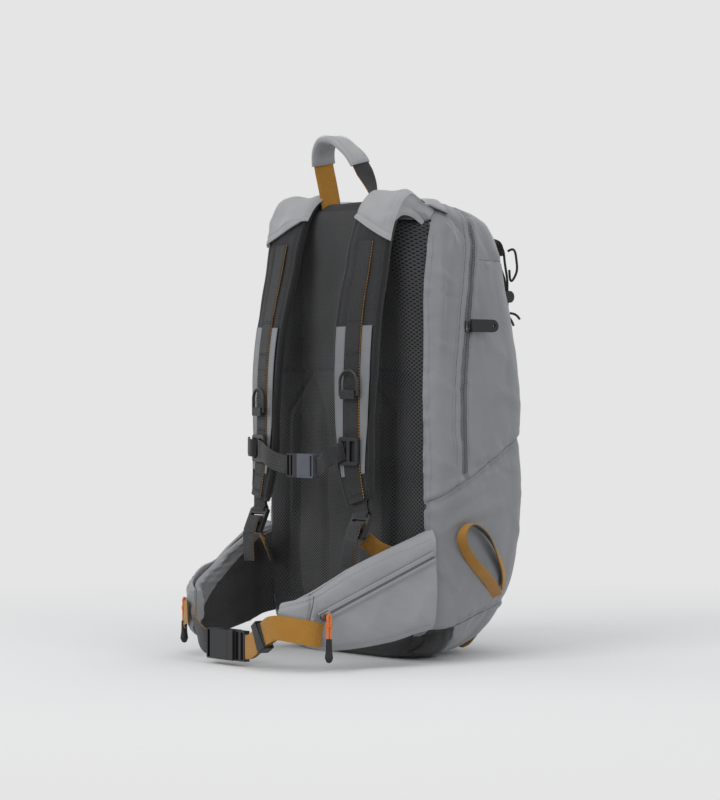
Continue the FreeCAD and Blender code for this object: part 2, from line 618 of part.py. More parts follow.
def buckle(prefix, female, male, place):
    """A side-release buckle. Local x is the pull direction with the male part at -x, y is the webbing's width, z the thickness.
    The socket's mouth is at x = 0."""
    p = "Sheet." + prefix + "_"
    b = new_body(female)
    sk = sketch(b, female + "_outline")
    rect(sk, p + "female", p + "width", p + "female / 2", "0", at=(27, 25, 13, 0))
    pad(b, sk, p + "thick")
    sk2 = sketch(b, female + "_socket")
    rect(sk2, p + "cav_d + 2", p + "cav_w", "(" + p + "cav_d - 2) / 2", "0", at=(20, 20, 8, 0))
    pocket(b, sk2, p + "cav_h", name="Socket")
    sk3 = sketch(b, female + "_windows")
    rect(sk3, p + "window", p + "width + 4", p + "window_x + " + p + "window / 2", "0", at=(9, 30, 10, 0))
    pocket(b, sk3, p + "cav_h", name="Side_windows")
    sk4 = sketch(b, female + "_bar_slot")
    rect(sk4, p + "bar_slot", p + "cav_w + 0.6", p + "female - 1.8 - " + p + "bar_slot / 2", "0", at=(3, 20, 24, 0))
    pocket(b, sk4, name="Bar_slot")
    fillet_long(b, 2.0, lambda e: along("z")(e) and abs(e.Vertexes[0].X - S(prefix + "_female")) < 0.01, female + "_corners")
    b.Placement = place

    m = new_body(male)
    sk = sketch(m, male + "_base")
    rect(sk, p + "base", p + "width", "-" + p + "base / 2 - 0.4", "0", at=(7, 25, -4, 0))
    pad(m, sk, p + "thick")
    sk = sketch(m, male + "_ladder")
    rect(sk, p + "ladder", p + "width", "-" + p + "base - 0.4 - " + p + "ladder / 2 + 0.2", "0", at=(13, 25, -13, 0))
    pad(m, sk, p + "thick * 0.55", name="Ladder")
    for k, f in (("a", "0.27"), ("b", "0.73")):
        sk = sketch(m, male + "_slot_" + k)
        rect(sk, p + "slot", p + "cav_w + 0.6", "-" + p + "base - 0.4 - " + p + "ladder * " + f, "0", at=(3, 20, -10 if k == "a" else -16, 0))
        pocket(m, sk, name="Slot_" + k)
    sk = sketch(m, male + "_guide")
    rect(sk, p + "guide_l + 1", p + "guide_w", "(" + p + "guide_l - 1) / 2", "0", at=(14, 4, 6, 0))
    pad(m, sk, p + "arm_h", name="Guide")
    for k, s in (("a", 1), ("b", -1)):
        sk = sketch(m, male + "_arm_" + k)
        rect(sk, p + "arm_l + 1", p + "arm_w", "(" + p + "arm_l - 1) / 2", "%d * (%scav_w / 2 - 0.5 - %sarm_w / 2)" % (s, p, p), at=(17, 3, 8, 8 * s))
        pad(m, sk, p + "arm_h", name="Arm_" + k)
        sk = sketch(m, male + "_barb_" + k)
        rect(sk, p + "barb_l", p + "barb", p + "barb_x + " + p + "barb_l / 2", "%d * (%scav_w / 2 - 0.5 + %sbarb / 2 - 0.2)" % (s, p, p), at=(6, 2, 10, 10 * s))
        pad(m, sk, p + "arm_h", name="Barb_" + k)
    m.Placement = place
    return b, m


# the sternum strap's pull line, slightly off square because the right anchor stands a little lower
sb_c = P(8, -62.5, S("sternum_z") - S("sternum_drop"))


def buckle_place(origin, xdir):
    x = V(xdir).normalize()
    y = V(0, 0, 1)
    y = (y - x * y.dot(x)).normalize()
    z = x.cross(y)
    m = App.Matrix(x.x, y.x, z.x, origin.x, x.y, y.y, z.y, origin.y, x.z, y.z, z.z, origin.z, 0, 0, 0, 1)
    return App.Placement(m)


buckle("sb", "sternum_buckle_female", "sternum_buckle_male", buckle_place(sb_c, V(1, 0, 0)))
zs = S("sternum_z")
zb = zs - S("sternum_drop")
fr = S("sb_female")
bxs = 8.0
stern_r = stations([P(bxs + fr + 2.2, -62.5, zb), P(bxs + fr + 6, -62.7, zb + 0.6), P(50, -63, zb + 6), P(63, -59, zs - 3)], [V(0, 0, 1), V(0, 0, 1), V(0.15, 0, 1)], 9)
feature("sternum_webbing_right", ribbon(stern_r, S("web_small") - 1.0, 1.5))
ml = S("sb_base") + S("sb_ladder")
stern_l = stations([P(-63, -59.5, zs - 2), P(-52, -62.5, zb + 10), P(-36, -63.2, zb + 4), P(bxs - ml - 6, -62.7, zb + 0.6), P(bxs - ml - 2.2, -62.5, zb)], [V(-0.1, 0, 1), V(0, 0, 1), V(0, 0, 1)], 11)
stern_tail = stations([P(-89, -54.5, zs + 1), P(-95.0, -52.0, zs + 2.5), P(-101.0, -46, zs + 2)], [V(0, 0, 1), V(0, 0, 1)], 5)
feature("sternum_webbing_left", Part.makeCompound([ribbon(stern_l, S("web_small") - 1.0, 1.5), ribbon(stern_tail, S("web_small") - 1.0, 1.5)]))

# ---------------------------------------------------------------- hip belt
wing_r = [P(141.5, 2, 87), P(134.6, -27.5, 77.3), P(127.4, -59, 68), P(120.2, -90.5, 59), P(114.6, -115, 52), P(110.6, -133.5, 49.5), P(103.5, -145, 49.5), P(91.5, -150.5, 51)]
wing_l = [P(-141.5, 2, 87), P(-134, -22, 78), P(-126.5, -48, 69.5), P(-118.5, -74, 61), P(-112, -95.5, 54.5), P(-106, -112.5, 52), P(-96.5, -123.5, 52), P(-84, -129, 53.5)]
wp, ws, wg = S("wing_pad"), S("wing_shell"), S("wing_gap")
wh = S("wing_root_h")
heights = [wh, wh * 0.97, wh * 0.93, wh * 0.87, wh * 0.8, wh * 0.68, wh * 0.52, wh * 0.32]
depths = [ws, ws, ws, ws, ws, ws * 0.85, ws * 0.65, ws * 0.4]
WING = {}
for tag, path in (("right", wing_r), ("left", wing_l)):
    wst = stations(path, [V(0, 0, 1), V(0, 0, 1)], 22, upright=True)
    q = 1.0 if wst[10][3].x * path[0].x > 0 else -1.0
    WING[tag] = (wst, q)
    feature("hip_wing_pad_" + tag, ribbon(wst, [v - 4 for v in heights], wp, off=-q * (wp / 2 + wg / 2), bevel=2.5))
    feature("hip_wing_pocket_" + tag, ribbon(wst, heights, depths, off=[q * (v / 2 + wg / 2) for v in depths], bevel=3.0))


def wing_face(tag, i, z, extra):
    """A point on the wing's outer face at a station and a height, moved out by extra."""
    wst, q = WING[tag]
    k = int(i)
    f = i - k
    a_, b_ = wst[k], wst[min(k + 1, len(wst) - 1)]
    d = mix(depths, i, len(wst))
    p0 = a_[0] + (b_[0] - a_[0]) * f
    n0 = (a_[3] * (1 - f) + b_[3] * f).normalize()
    r = p0 + n0 * q * (d + wg / 2 + extra)
    return V(r.x, r.y, z)


# the pocket zip lies on the wing's outer face along its straight run, higher at the pack's end
HZ = {}
for tag in ("right", "left"):
    lo = wing_face(tag, 16.6, 53.0, 1.0)
    hi = wing_face(tag, 0.3, 111.0, 1.0)
    # a straight tape outside the curved face: move both ends out until the middle clears it
    mid_face = wing_face(tag, 8.2, 82.0, 1.0)
    od = V(hi.x - lo.x, hi.y - lo.y, 0).cross(V(0, 0, 1)).normalize()
    if od.x * lo.x < 0:
        od = od * -1
    lack = max(0.0, max((wing_face(tag, k_ / 2.0, 80.0, 1.0) - lo).dot(od) - (V(hi.x - lo.x, hi.y - lo.y, 0)).dot(od) * 0 for k_ in range(1, 34)))
    lo, hi = lo + od * lack, hi + od * lack
    HZ[tag] = (lo, hi, od)


def hip_zip_tape(label, a, b, outd):
    c = (a + b) * 0.5
    length = (b - a).Length
    x = (b - a).normalize()
    box = new_body(label)
    sk = sketch(box, label + "_outline")
    rect(sk, repr(round(length, 3)), "Sheet.hip_zip_w", at=(100, 9, 0, 0))
    pad(box, sk, "Sheet.hip_zip_t")
    z = outd
    y = z.cross(x)
    m = App.Matrix(x.x, y.x, z.x, c.x, x.y, y.y, z.y, c.y, x.z, y.z, z.z, c.z, 0, 0, 0, 1)
    box.Placement = App.Placement(m)


for tag in ("right", "left"):
    hip_zip_tape("hip_zipper_" + tag, *HZ[tag])


def zip_slider(label, length, width, thick, place):
    """A zip slider: a rounded plate with a raised bridge that carries the pull."""
    b = new_body(label)
    sk = sketch(b, label + "_plate")
    rect(sk, length, width)
    pad(b, sk, thick)
    fillet_long(b, 1.6, along("z"), label + "_round")
    sk = sketch(b, label + "_crown")
    rect(sk, "(" + length + ") * 0.62", "(" + width + ") * 0.34", at=(7, 3, 0, 0))
    pad(b, sk, "(" + thick + ") + 4.4", midplane=True, name="Crown")
    sk = sketch(b, label + "_clear", offset="(" + thick + ") / -2 - 2.2")
    rect(sk, "(" + length + ") + 4", "(" + width + ") + 4", at=(15, 12, 0, 0))
    f = pocket(b, sk, "4.4", name="Trim")
    sk = sketch(b, label + "_eye", "XZ_Plane")
    rect(sk, "(" + length + ") * 0.34", "1.2", "0", "(" + thick + ") / 2 + 0.6", at=(4, 1.2, 0, 2.4))
    pocket(b, sk, name="Eye")
    b.Placement = place
    return b


def place_axes(c, x, z):
    x, z = V(x).normalize(), V(z).normalize()
    y = z.cross(x).normalize()
    m = App.Matrix(x.x, y.x, z.x, c.x, x.y, y.y, z.y, c.y, x.z, y.z, z.z, c.z, 0, 0, 0, 1)
    return App.Placement(m)


SLIDE = {}
for tag in ("right", "left"):
    lo, hi, od = HZ[tag]
    zd = (hi - lo).normalize()
    c = lo + zd * 6 + od * (S("hip_zip_t") / 2 + 0.4 + S("hip_slider_t") / 2)
    zip_slider("hip_zip_slider_" + tag, "Sheet.hip_slider_l", "Sheet.hip_slider_w", "Sheet.hip_slider_t", place_axes(c, zd, od))
    SLIDE[tag] = (c, c + od * (S("hip_slider_t") / 2 + 5.4), zd)
    print("HIPZIP", tag, [round(v, 3) for v in lo], [round(v, 3) for v in hi], [round(v, 4) for v in od], [round(v, 3) for v in c], [round(v, 3) for v in SLIDE[tag][1]])


def pull_cord(label, c, wd):
    """Two legs of thin cord with a round turn at the top, hanging down from c."""
    parts = []
    for k, s in (("a", -1), ("b", 1)):
        leg = doc.addObject("Part::Cylinder", label + "_leg_" + k)
        leg.setExpression("Radius", "Sheet.pull_cord_r")
        leg.setExpression("Height", "Sheet.pull_cord_l")
        leg.setExpression("Placement.Base.x", "%d * Sheet.pull_cord_gap" % s)
        leg.setExpression("Placement.Base.z", "-Sheet.pull_cord_l")
        parts.append(leg)
    bow = doc.addObject("Part::Torus", label + "_turn")
    bow.setExpression("Radius1", "Sheet.pull_cord_gap")
    bow.setExpression("Radius2", "Sheet.pull_cord_r")
    bow.Angle3 = 180
    bow.Placement.Rotation = App.Rotation(V(1, 0, 0), 90)
    parts.append(bow)
    fuse = doc.addObject("Part::MultiFuse", label)
    fuse.Label = label
    fuse.Shapes = parts
    NODES.append(fuse)
    doc.recompute()
    fuse.Placement = frame_of(c, wd, V(0, 0, 1))


def pull_grip(label, c, wd):
    """A moulded end: a slim sleeve that swells into a ball, turned from one profile."""
    import Sketcher
    b = new_body(label)
    sk = sketch(b, label + "_profile", "XZ_Plane")
    pts = [(0, 0), (2.9, 0), (3.2, -12), (4.2, -19), (2.6, -23.2), (0, -24)]
    ids = [sk.addGeometry(Part.LineSegment(V(*pts[i], 0), V(*pts[(i + 1) % len(pts)], 0)), False) for i in range(len(pts))]
    for i in range(len(pts)):
        sk.addConstraint(Sketcher.Constraint("Coincident", ids[i], 2, ids[(i + 1) % len(pts)], 1))
    sk.addConstraint(Sketcher.Constraint("Coincident", ids[0], 1, -1, 1))
    sk.addConstraint(Sketcher.Constraint("PointOnObject", ids[4], 2, -2))
    driven(sk, ("DistanceX", ids[0], 1, ids[0], 2, 2.9), "Sheet.pull_grip_r - 0.3")
    driven(sk, ("DistanceX", -1, 1, ids[1], 2, 3.2), "Sheet.pull_grip_r")
    driven(sk, ("DistanceX", -1, 1, ids[2], 2, 4.2), "Sheet.pull_ball_r")
    driven(sk, ("DistanceX", -1, 1, ids[3], 2, 2.6), "Sheet.pull_ball_r * 0.6")
    driven(sk, ("DistanceY", ids[1], 2, -1, 1, 12), "Sheet.pull_grip_l * 0.7")
    driven(sk, ("DistanceY", ids[2], 2, -1, 1, 19), "Sheet.pull_grip_l + 2")
    driven(sk, ("DistanceY", ids[3], 2, -1, 1, 23), "Sheet.pull_grip_l + 6")
    driven(sk, ("DistanceY", ids[4], 2, -1, 1, 24), "Sheet.pull_grip_l + 7")
    driven(sk, ("DistanceY", ids[0], 2, -1, 1, 0.2), "0.2")
    f = b.newObject("PartDesign::Revolution", "Turned")
    f.Profile = sk
    f.ReferenceAxis = (sk, ["V_Axis"])
    f.Angle = 360
    doc.recompute()
    b.Placement = frame_of(c, wd, V(0, 0, 1))
    return b


for tag in ("right", "left"):
    c, pc, zd = SLIDE[tag]
    flat = V(zd.x, zd.y, 0).normalize()
    pull_cord("hip_pull_cord_" + tag, pc, flat)
    pull_grip("hip_pull_grip_" + tag, pc - V(0, 0, S("pull_cord_l") + 0.4), flat)

# belt webbing, keeper and buckle
hz = 20.5
hby = -154.0
hb_c = P(12, hby, hz)
bx = V(-1, 0, 0)  # the socket is on the left-hand wing, the male part comes from the right
buckle("hb", "hip_buckle_female", "hip_buckle_male", buckle_place(hb_c, bx))
hml = S("hb_base") + S("hb_ladder")
hfl = S("hb_female")
xr, xl = 12 + hml + 0.4, 12 - hfl
# the belt leaves the wing's outer face, rounds its tip and drops to the buckle; a second ply, the free tail, lies over it
in_st = stations([P(83.5, -156.0, 41), P(78, -157.0, 37.8), P(70, -157.6, 32.5), P(60, -157.0, 26.5), P(xr + 6, -154.6, 20.6), P(xr + 2.2, -154, 20.5)], [V(0, 0, 1), V(0.35, 0, 1), V(0.2, 0, 1), V(0, 0, 1)], 12)
tail_pts = [wing_face("right", 16.4, 36, 2.2), wing_face("right", 17.3, 37.5, 2.4), wing_face("right", 18.3, 40, 2.6), wing_face("right", 19.4, 42, 2.8), P(89.5, -162.5, 42.5), P(83, -163.0, 39.6), P(73.5, -162.5, 34.3), P(62, -161.2, 27.6), P(xr + 7, -158.2, 20.7), P(xr + 2.2, -157.4, 20.5)]
tail_st = stations(tail_pts, [V(0, 0, 1), V(0, 0, 1), V(0, 0, 1), V(0.35, 0, 1), V(0.2, 0, 1), V(0, 0, 1)], 20)


def at_x(st_, x):
    """Position and width direction of a band where it crosses a plane of constant x."""
    for a_, b_ in zip(st_, st_[1:]):
        if min(a_[0].x, b_[0].x) <= x <= max(a_[0].x, b_[0].x):
            f = (x - a_[0].x) / (b_[0].x - a_[0].x)
            return a_[0] + (b_[0] - a_[0]) * f, (a_[2] * (1 - f) + b_[2] * f).normalize()
    raise ValueError(x)


feature("hip_webbing_right", Part.makeCompound([ribbon(in_st, S("web_large"), 1.6), ribbon(tail_st, S("web_large"), 1.6)]))
k_pts, k_w = [], []
for x in (77.5, 75.0, 71.0, 67.0, 64.0):
    (p1, w1), (p2, w2) = at_x(in_st, x), at_x(tail_st, x)
    k_pts.append((p1 + p2) * 0.5)
    k_w.append((w1 + w2).normalize())
keep_st = stations(k_pts[1:4], [k_w[1], k_w[2], k_w[3]], 4)
long_st = stations(k_pts, [k_w[0], k_w[2], k_w[4]], 8)
feature("hip_webbing_keeper", biggest(ribbon(keep_st, S("keeper_out_w"), S("keeper_out_t"), bevel=1.2).cut(ribbon(long_st, S("keeper_in_w"), S("keeper_in_t")))))
left_st = stations([P(-76, -137.0, 44.5), P(-66, -142.8, 38), P(-53, -148.6, 30), P(-39, -152.8, 23), P(xl - 6, -154, 20.6), P(xl - 2.2, -154, 20.5)], [V(0, 0, 1), V(-0.35, 0, 1), V(-0.2, 0, 1), V(0, 0, 1)], 12)
left_patch = stations([wing_face("left", 17.3, 38, 2.2), wing_face("left", 18.0, 40, 2.4), wing_face("left", 18.6, 43, 2.6), wing_face("left", 19.6, 45, 2.8), P(-84, -139.5, 47.5)], [V(0, 0, 1), V(0, 0, 1)], 9)
feature("hip_webbing_left", Part.makeCompound([ribbon(left_st, S("web_large"), 1.6), ribbon(left_patch, S("web_large"), 1.6)]))

# ---------------------------------------------------------------- haul handle
haul_path = [P(-27.5, 12, 482), P(-31.5, 10, 492), P(-37.5, 6, 506), P(-41, 2, 520), P(-34, -1, 535.5), P(-16, -3, 543.5), P(4, -3, 542.5), P(20, -1, 534.5), P(30, 2, 521), P(34.5, 6, 506), P(31.5, 10, 492), P(27.5, 12, 482)]
hst = stations(haul_path, [V(0.62, 0.78, 0), V(0.5, 0.86, 0), V(0, 1, 0), V(-0.1, 1, 0), V(-0.5, 0.86, 0), V(-0.62, 0.78, 0)], 36)
feature("haul_webbing", ribbon(hst, S("web_large"), 1.6))
grip = ribbon(hst, S("haul_grip_w"), S("haul_grip_t"), bevel=1.6, first=9, last=26).cut(ribbon(hst, S("haul_slot_w"), S("haul_slot_t"), first=8, last=27))
feature("haul_grip", biggest(grip))

# ---------------------------------------------------------------- main zip slider and its pull tab
mz0, mz1 = 300.0, 408.0
za = V(surface_at("x", zip_y(mz0), mz0), zip_y(mz0) + BY, mz0)
zb2 = V(surface_at("x", zip_y(mz1), mz1), zip_y(mz1) + BY, mz1)
mdir = (zb2 - za).normalize()
mid = V(surface_at("x", zip_y(345), 345), zip_y(345) + BY, 345)
nrm = V(1, -0.12, 0)
nrm = (nrm - mdir * nrm.dot(mdir)).normalize()
mz_c = mid + nrm * (S("mzip_t") / 2 + 1.3)
zip_slider("main_zip_slider", "Sheet.mzip_l", "Sheet.mzip_w", "Sheet.mzip_t", place_axes(mz_c, mdir, nrm))
tab_origin = mz_c + nrm * (S("mzip_t") / 2 + 2.4 + S("tab_t") / 2 + 0.6)
tab_dir = V(0.0, 1, -0.02)
tab_dir = (tab_dir - nrm * tab_dir.dot(nrm)).normalize()


def pull_tab(label, place):
    """A flat rubber tab with a rounded nose and a small hole."""
    b = new_body(label)
    sk = sketch(b, label + "_outline")
    rect(sk, "Sheet.tab_len - Sheet.tab_w / 2", "Sheet.tab_w", "(Sheet.tab_len - Sheet.tab_w / 2) / 2 - Sheet.tab_heel", "0", at=(33, 13, 14, 0))
    pad(b, sk, "Sheet.tab_t")
    sk = sketch(b, label + "_nose")
    circle(sk, "Sheet.tab_w / 2 - 0.01", "Sheet.tab_len - Sheet.tab_w / 2 - Sheet.tab_heel", "0", at=(6, 30, 0))
    pad(b, sk, "Sheet.tab_t", name="Nose")
    sk = sketch(b, label + "_hole")
    circle(sk, "Sheet.tab_hole", "Sheet.tab_len - Sheet.tab_w / 2", "0", at=(1.5, 33, 0))
    pocket(b, sk, name="Hole")
    b.Placement = place
    return b


pull_tab("main_zip_pull_tab", place_axes(tab_origin, tab_dir, nrm))

# ---------------------------------------------------------------- pole cord, its anchor and lock
ax, az = 66.0, 432.0
ay = surface_at("y", ax, az)
anchor_st = stations([P(ax, ay + 1.6, az + 8), P(ax + 0.5, ay + 8, az + 5.5), P(ax + 1, ay + 12, az - 2), P(ax + 1, ay + 11, az - 9)], [V(1, -0.08, 0), V(1, -0.08, 0)], 8)
feature("cord_anchor_tab", ribbon(anchor_st, 13.0, 2.0))
cr = S("cord_r")
lx, lz = ax + 6, 379.0
ly = surface_at("y", lx, lz) + 9.5
hang = surface_at("y", lx, 402.0) + 6.0
sa = [P(ax - 3.5, ay + 15.0, az - 6), P(ax - 1.0, max(ay + 14.0, hang), az - 18), P(lx, ly - 1.7, lz + 15), P(lx, ly - 1.7, lz + 9), P(lx, ly - 1.7, lz + 3), P(lx, ly - 1.7, lz - 4), P(lx, ly - 1.7, lz - 11)]
sb = [P(ax + 4.5, ay + 15.0, az - 6), P(ax + 6.0, max(ay + 15.4, hang + 1.5), az - 18), P(lx, ly + 1.7, lz + 15), P(lx, ly + 1.7, lz + 9), P(lx, ly + 1.7, lz + 3), P(lx, ly + 1.7, lz - 4), P(lx, ly + 1.7, lz - 11)]
loop = [P(ax + 8.6, ay + 17.0, az - 4), P(ax + 13, ay + 20, az - 2), P(ax + 17, ay + 22, az - 14), P(ax + 17, ay + 21, az - 29), P(ax + 13, ay + 18.5, az - 36), P(ax + 10.6, ay + 17.5, az - 24)]
knot = Part.makeSphere(4.2, P(lx, ly, lz - 17))
ends = [tube([P(lx + 4.6, ly + 1.5, lz - 17.5), P(lx + 10, ly + 4, lz - 19), P(lx + 16, ly + 5, lz - 24)], cr), tube([P(lx + 4.0, ly - 1.5, lz - 20), P(lx + 8, ly - 1, lz - 24), P(lx + 13, ly - 1, lz - 31)], cr)]
feature("pole_cord", Part.makeCompound([tube(sa, cr), tube(sb, cr), tube(loop, cr), knot] + ends))


def cord_lock(place):
    b = new_body("cord_lock_body")
    sk = sketch(b, "cord_lock_outline", "YZ_Plane")
    circle(sk, "Sheet.clock_r")
    pad(b, sk, "Sheet.clock_l")
    sk = sketch(b, "cord_lock_barrel", "YZ_Plane", "-Sheet.clock_l / 2 + 2.4")
    circle(sk, "Sheet.plunger_r + 0.25")
    full = b.Shape.Volume
    f = pocket(b, sk, "Sheet.clock_l", midplane=False, name="Barrel")
    if full - b.Shape.Volume < math.pi * S("plunger_r") ** 2 * 5:
        f.Reversed = not f.Reversed
        doc.recompute()
    if full - b.Shape.Volume < math.pi * S("plunger_r") ** 2 * 5:
        raise RuntimeError("the cord lock's barrel is shallow")
    sk = sketch(b, "cord_lock_slot", "XY_Plane")
    rect(sk, "Sheet.clock_slot_h", "Sheet.clock_slot_w")
    pocket(b, sk, name="Cord_slot")
    b.Placement = place

    m = new_body("cord_lock_button")
    sk = sketch(m, "cord_button_stem", "YZ_Plane", "2.2")
    circle(sk, "Sheet.plunger_r")
    pad(m, sk, "Sheet.plunger_l - 6", name="Stem")
    sk = sketch(m, "cord_button_cap", "YZ_Plane", "Sheet.clock_l / 2 + 3.4 + Sheet.plunger_cap_l / 2")
    circle(sk, "Sheet.plunger_cap_r")
    pad(m, sk, "Sheet.plunger_cap_l", name="Cap")
    sk = sketch(m, "cord_button_neck", "YZ_Plane", "Sheet.clock_l / 2 + 0.6")
    circle(sk, "Sheet.plunger_r - 0.4")
    pad(m, sk, "8", name="Neck")
    sk = sketch(m, "cord_button_slot", "XY_Plane")
    rect(sk, "Sheet.clock_slot_h + 3.4", "Sheet.clock_slot_w", "1.7 - 0.2", "0", at=(7, 6, 1, 0))
    pocket(m, sk, name="Cord_slot")
    fillet_long(m, 2.0, lambda e: e.Curve.TypeId == "Part::GeomCircle" and abs(e.Curve.Radius - S("plunger_cap_r")) < 0.01, "cap_round")
    m.Placement = place


# local x is the press direction, the cords run along local z
cx = V(0.55, -0.83, 0).normalize()
cord_lock(place_axes(P(lx, ly, lz), V(-1, 0, 0), V(0, 0, 1)))


# ---------------------------------------------------------------- ski loops and the tool loop
def side_point(y, z, off):
    x = surface_at("x", y, z)
    return P(x + off, y, z)


loop_pts = [side_point(126, 73, 5), side_point(130, 87, 6), side_point(119, 107, 8), side_point(94, 129, 9), side_point(66, 141, 10), side_point(46, 141, 10.5),
            side_point(38, 131, 10.5), side_point(46, 113, 9.5), side_point(76, 91, 8.5), side_point(104, 72, 6.5), side_point(116, 63, 5)]
skst = stations(loop_pts, [V(0.9, 0.1, 0.3), V(0.9, 0.3, 0.0), V(0.9, 0, -0.3)], 34)
ski_r = ribbon(skst, S("ski_web") * 0.6, S("ski_thick"))
feature("ski_loop_right", ski_r)
feature("ski_loop_left", mirror_x(ski_r))


def under(x, y):
    """Height of the base's outer surface below a plan position, given from the back plane."""
    c = Part.makeLine(P(x, y, -30), P(x, y, 200)).common(OUTER)
    return min(q.Point.z for q in c.Vertexes)


tx = 62.0
tool_st = stations([P(tx, 113, max(under(tx, 113) - 4.2, 1.2)), P(tx + 0.5, 119, under(tx, 119) - 4.6), P(tx + 1, 126, under(tx + 1, 126) - 4.4), P(tx + 1, 131, under(tx + 1, 131) - 3.2)], [V(1, -0.1, 0), V(1, -0.1, 0)], 8)
feature("tool_loop", ribbon(tool_st, S("tool_web"), 1.4))
band = bag(-GAP - S("base_strap_t"), 0.0, BH).cut(bag(-GAP, 0.0, BH))
bsw = S("base_strap_w")
feature("base_straps", Part.makeCompound([biggest(band.common(Part.makeBox(300, bsw, 26, P(x0, 12, 8)))) for x0 in (60, -360)]))

# ---------------------------------------------------------------- checks and files
print("SKI", [round(v, 2) for v in loop_pts[0]], [round(v, 2) for v in loop_pts[-1]])
print("CLOCK", lx, ly + BY, lz, "TAB", [round(v, 3) for v in tab_origin], [round(v, 3) for v in mz_c], [round(v, 4) for v in mdir], [round(v, 4) for v in nrm], "LOCK", [round(v, 3) for v in lock_c])
doc.recompute()
ok = True
for o in doc.Objects:
    if "Invalid" in o.State or "Error" in o.State:
        print("BAD STATE", o.Label, o.State)
        ok = False
for o in NODES:
    s = o.Shape
    if s.isNull() or not s.isValid() or s.Volume <= 0 or not s.Solids:
        print("BAD SHAPE", o.Label, s.isNull() or (s.isValid(), s.Volume, len(s.Solids)))
        ok = False
if not ok:
    raise SystemExit("a sub-part failed")
os.makedirs("parts", exist_ok=True)
for old in os.listdir("parts"):
    if old.endswith(".step"):
        os.remove(os.path.join("parts", old))
for o in NODES:
    o.Shape.exportStep(os.path.join("parts", o.Label + ".step"))
print("nodes", len(NODES))
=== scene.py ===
# A backpack standing on its base: z is up, the back panel and its harness face -y and the front
# panel faces +y. "Right" is +x, as seen when facing the back panel. Shapes are worked out in mm
# and scaled to metres when a mesh is made. Most path tables give y from the back panel's plane.
import bpy
import json
import math
import numpy as np
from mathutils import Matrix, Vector
from mathutils.bvhtree import BVHTree


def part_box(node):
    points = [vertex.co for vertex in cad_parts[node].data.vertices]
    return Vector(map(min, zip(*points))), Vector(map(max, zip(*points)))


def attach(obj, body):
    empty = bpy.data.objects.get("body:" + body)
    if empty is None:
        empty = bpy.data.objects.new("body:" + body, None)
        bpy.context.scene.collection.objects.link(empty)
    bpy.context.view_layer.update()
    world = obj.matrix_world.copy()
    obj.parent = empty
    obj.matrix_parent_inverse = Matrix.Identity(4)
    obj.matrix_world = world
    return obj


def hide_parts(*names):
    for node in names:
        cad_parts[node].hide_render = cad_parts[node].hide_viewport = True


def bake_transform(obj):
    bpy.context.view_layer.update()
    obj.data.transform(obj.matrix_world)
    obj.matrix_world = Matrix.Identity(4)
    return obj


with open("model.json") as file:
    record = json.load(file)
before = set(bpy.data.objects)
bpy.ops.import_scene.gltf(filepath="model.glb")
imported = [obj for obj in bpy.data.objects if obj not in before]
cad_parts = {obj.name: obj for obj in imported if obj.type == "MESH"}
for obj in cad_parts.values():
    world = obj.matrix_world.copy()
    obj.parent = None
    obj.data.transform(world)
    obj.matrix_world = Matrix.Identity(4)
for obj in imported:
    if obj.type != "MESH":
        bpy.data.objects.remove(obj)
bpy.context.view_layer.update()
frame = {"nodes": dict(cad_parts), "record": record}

NODES = frame["nodes"]
BODY = {node: body for body, nodes in frame["record"]["behaviour"]["bodies"].items()
        for node in nodes}
BACK_Y = -80.0                  # the back panel's plane
SIDES = (("right", 1), ("left", -1))
HALF_TURN = math.pi


# ---------------------------------------------------------------- small maths
def vec(*values):
    return np.array(values, float)


def from_back(*rows):
    """Points given as (x, y from the back panel's plane, z)."""
    return np.array(rows, float) + vec(0, BACK_Y, 0)


def box_mm(name):
    """The low and high corners of a CAD piece."""
    return [np.array(corner) * 1000 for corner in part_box(name)]


def unit(v):
    v = np.asarray(v, float)
    return v / (np.linalg.norm(v, axis=-1, keepdims=True) + 1e-12)


def bell(distance, width):
    return np.exp(-(distance / width) ** 2)


def smooth_step(x):
    return x * x * (3 - 2 * x)


def waves(seed, count, shortest, longest, flat=(1, 1, 1)):
    """A smooth random field of about unit size: a sum of plane waves, lengths in mm."""
    rng = np.random.RandomState(seed)
    direction = rng.normal(size=(count, 3)) * np.array(flat)
    direction /= np.linalg.norm(direction, axis=1)[:, None]
    k = direction * (2 * math.pi / rng.uniform(shortest, longest, count))[:, None]
    phase = rng.uniform(0, 2 * math.pi, count)

    def field(p):
        return np.sin(np.asarray(p) @ k.T + phase).sum(-1) / math.sqrt(count / 2.0)
    return field


def resample(points, count):
    """count points at even spacing along a polyline."""
    points = np.asarray(points, float)
    steps = np.linalg.norm(np.diff(points, axis=0), axis=1)
    run = np.r_[0, np.cumsum(steps)]
    at = np.linspace(0, run[-1], count)
    return np.stack([np.interp(at, run, column) for column in points.T], 1)


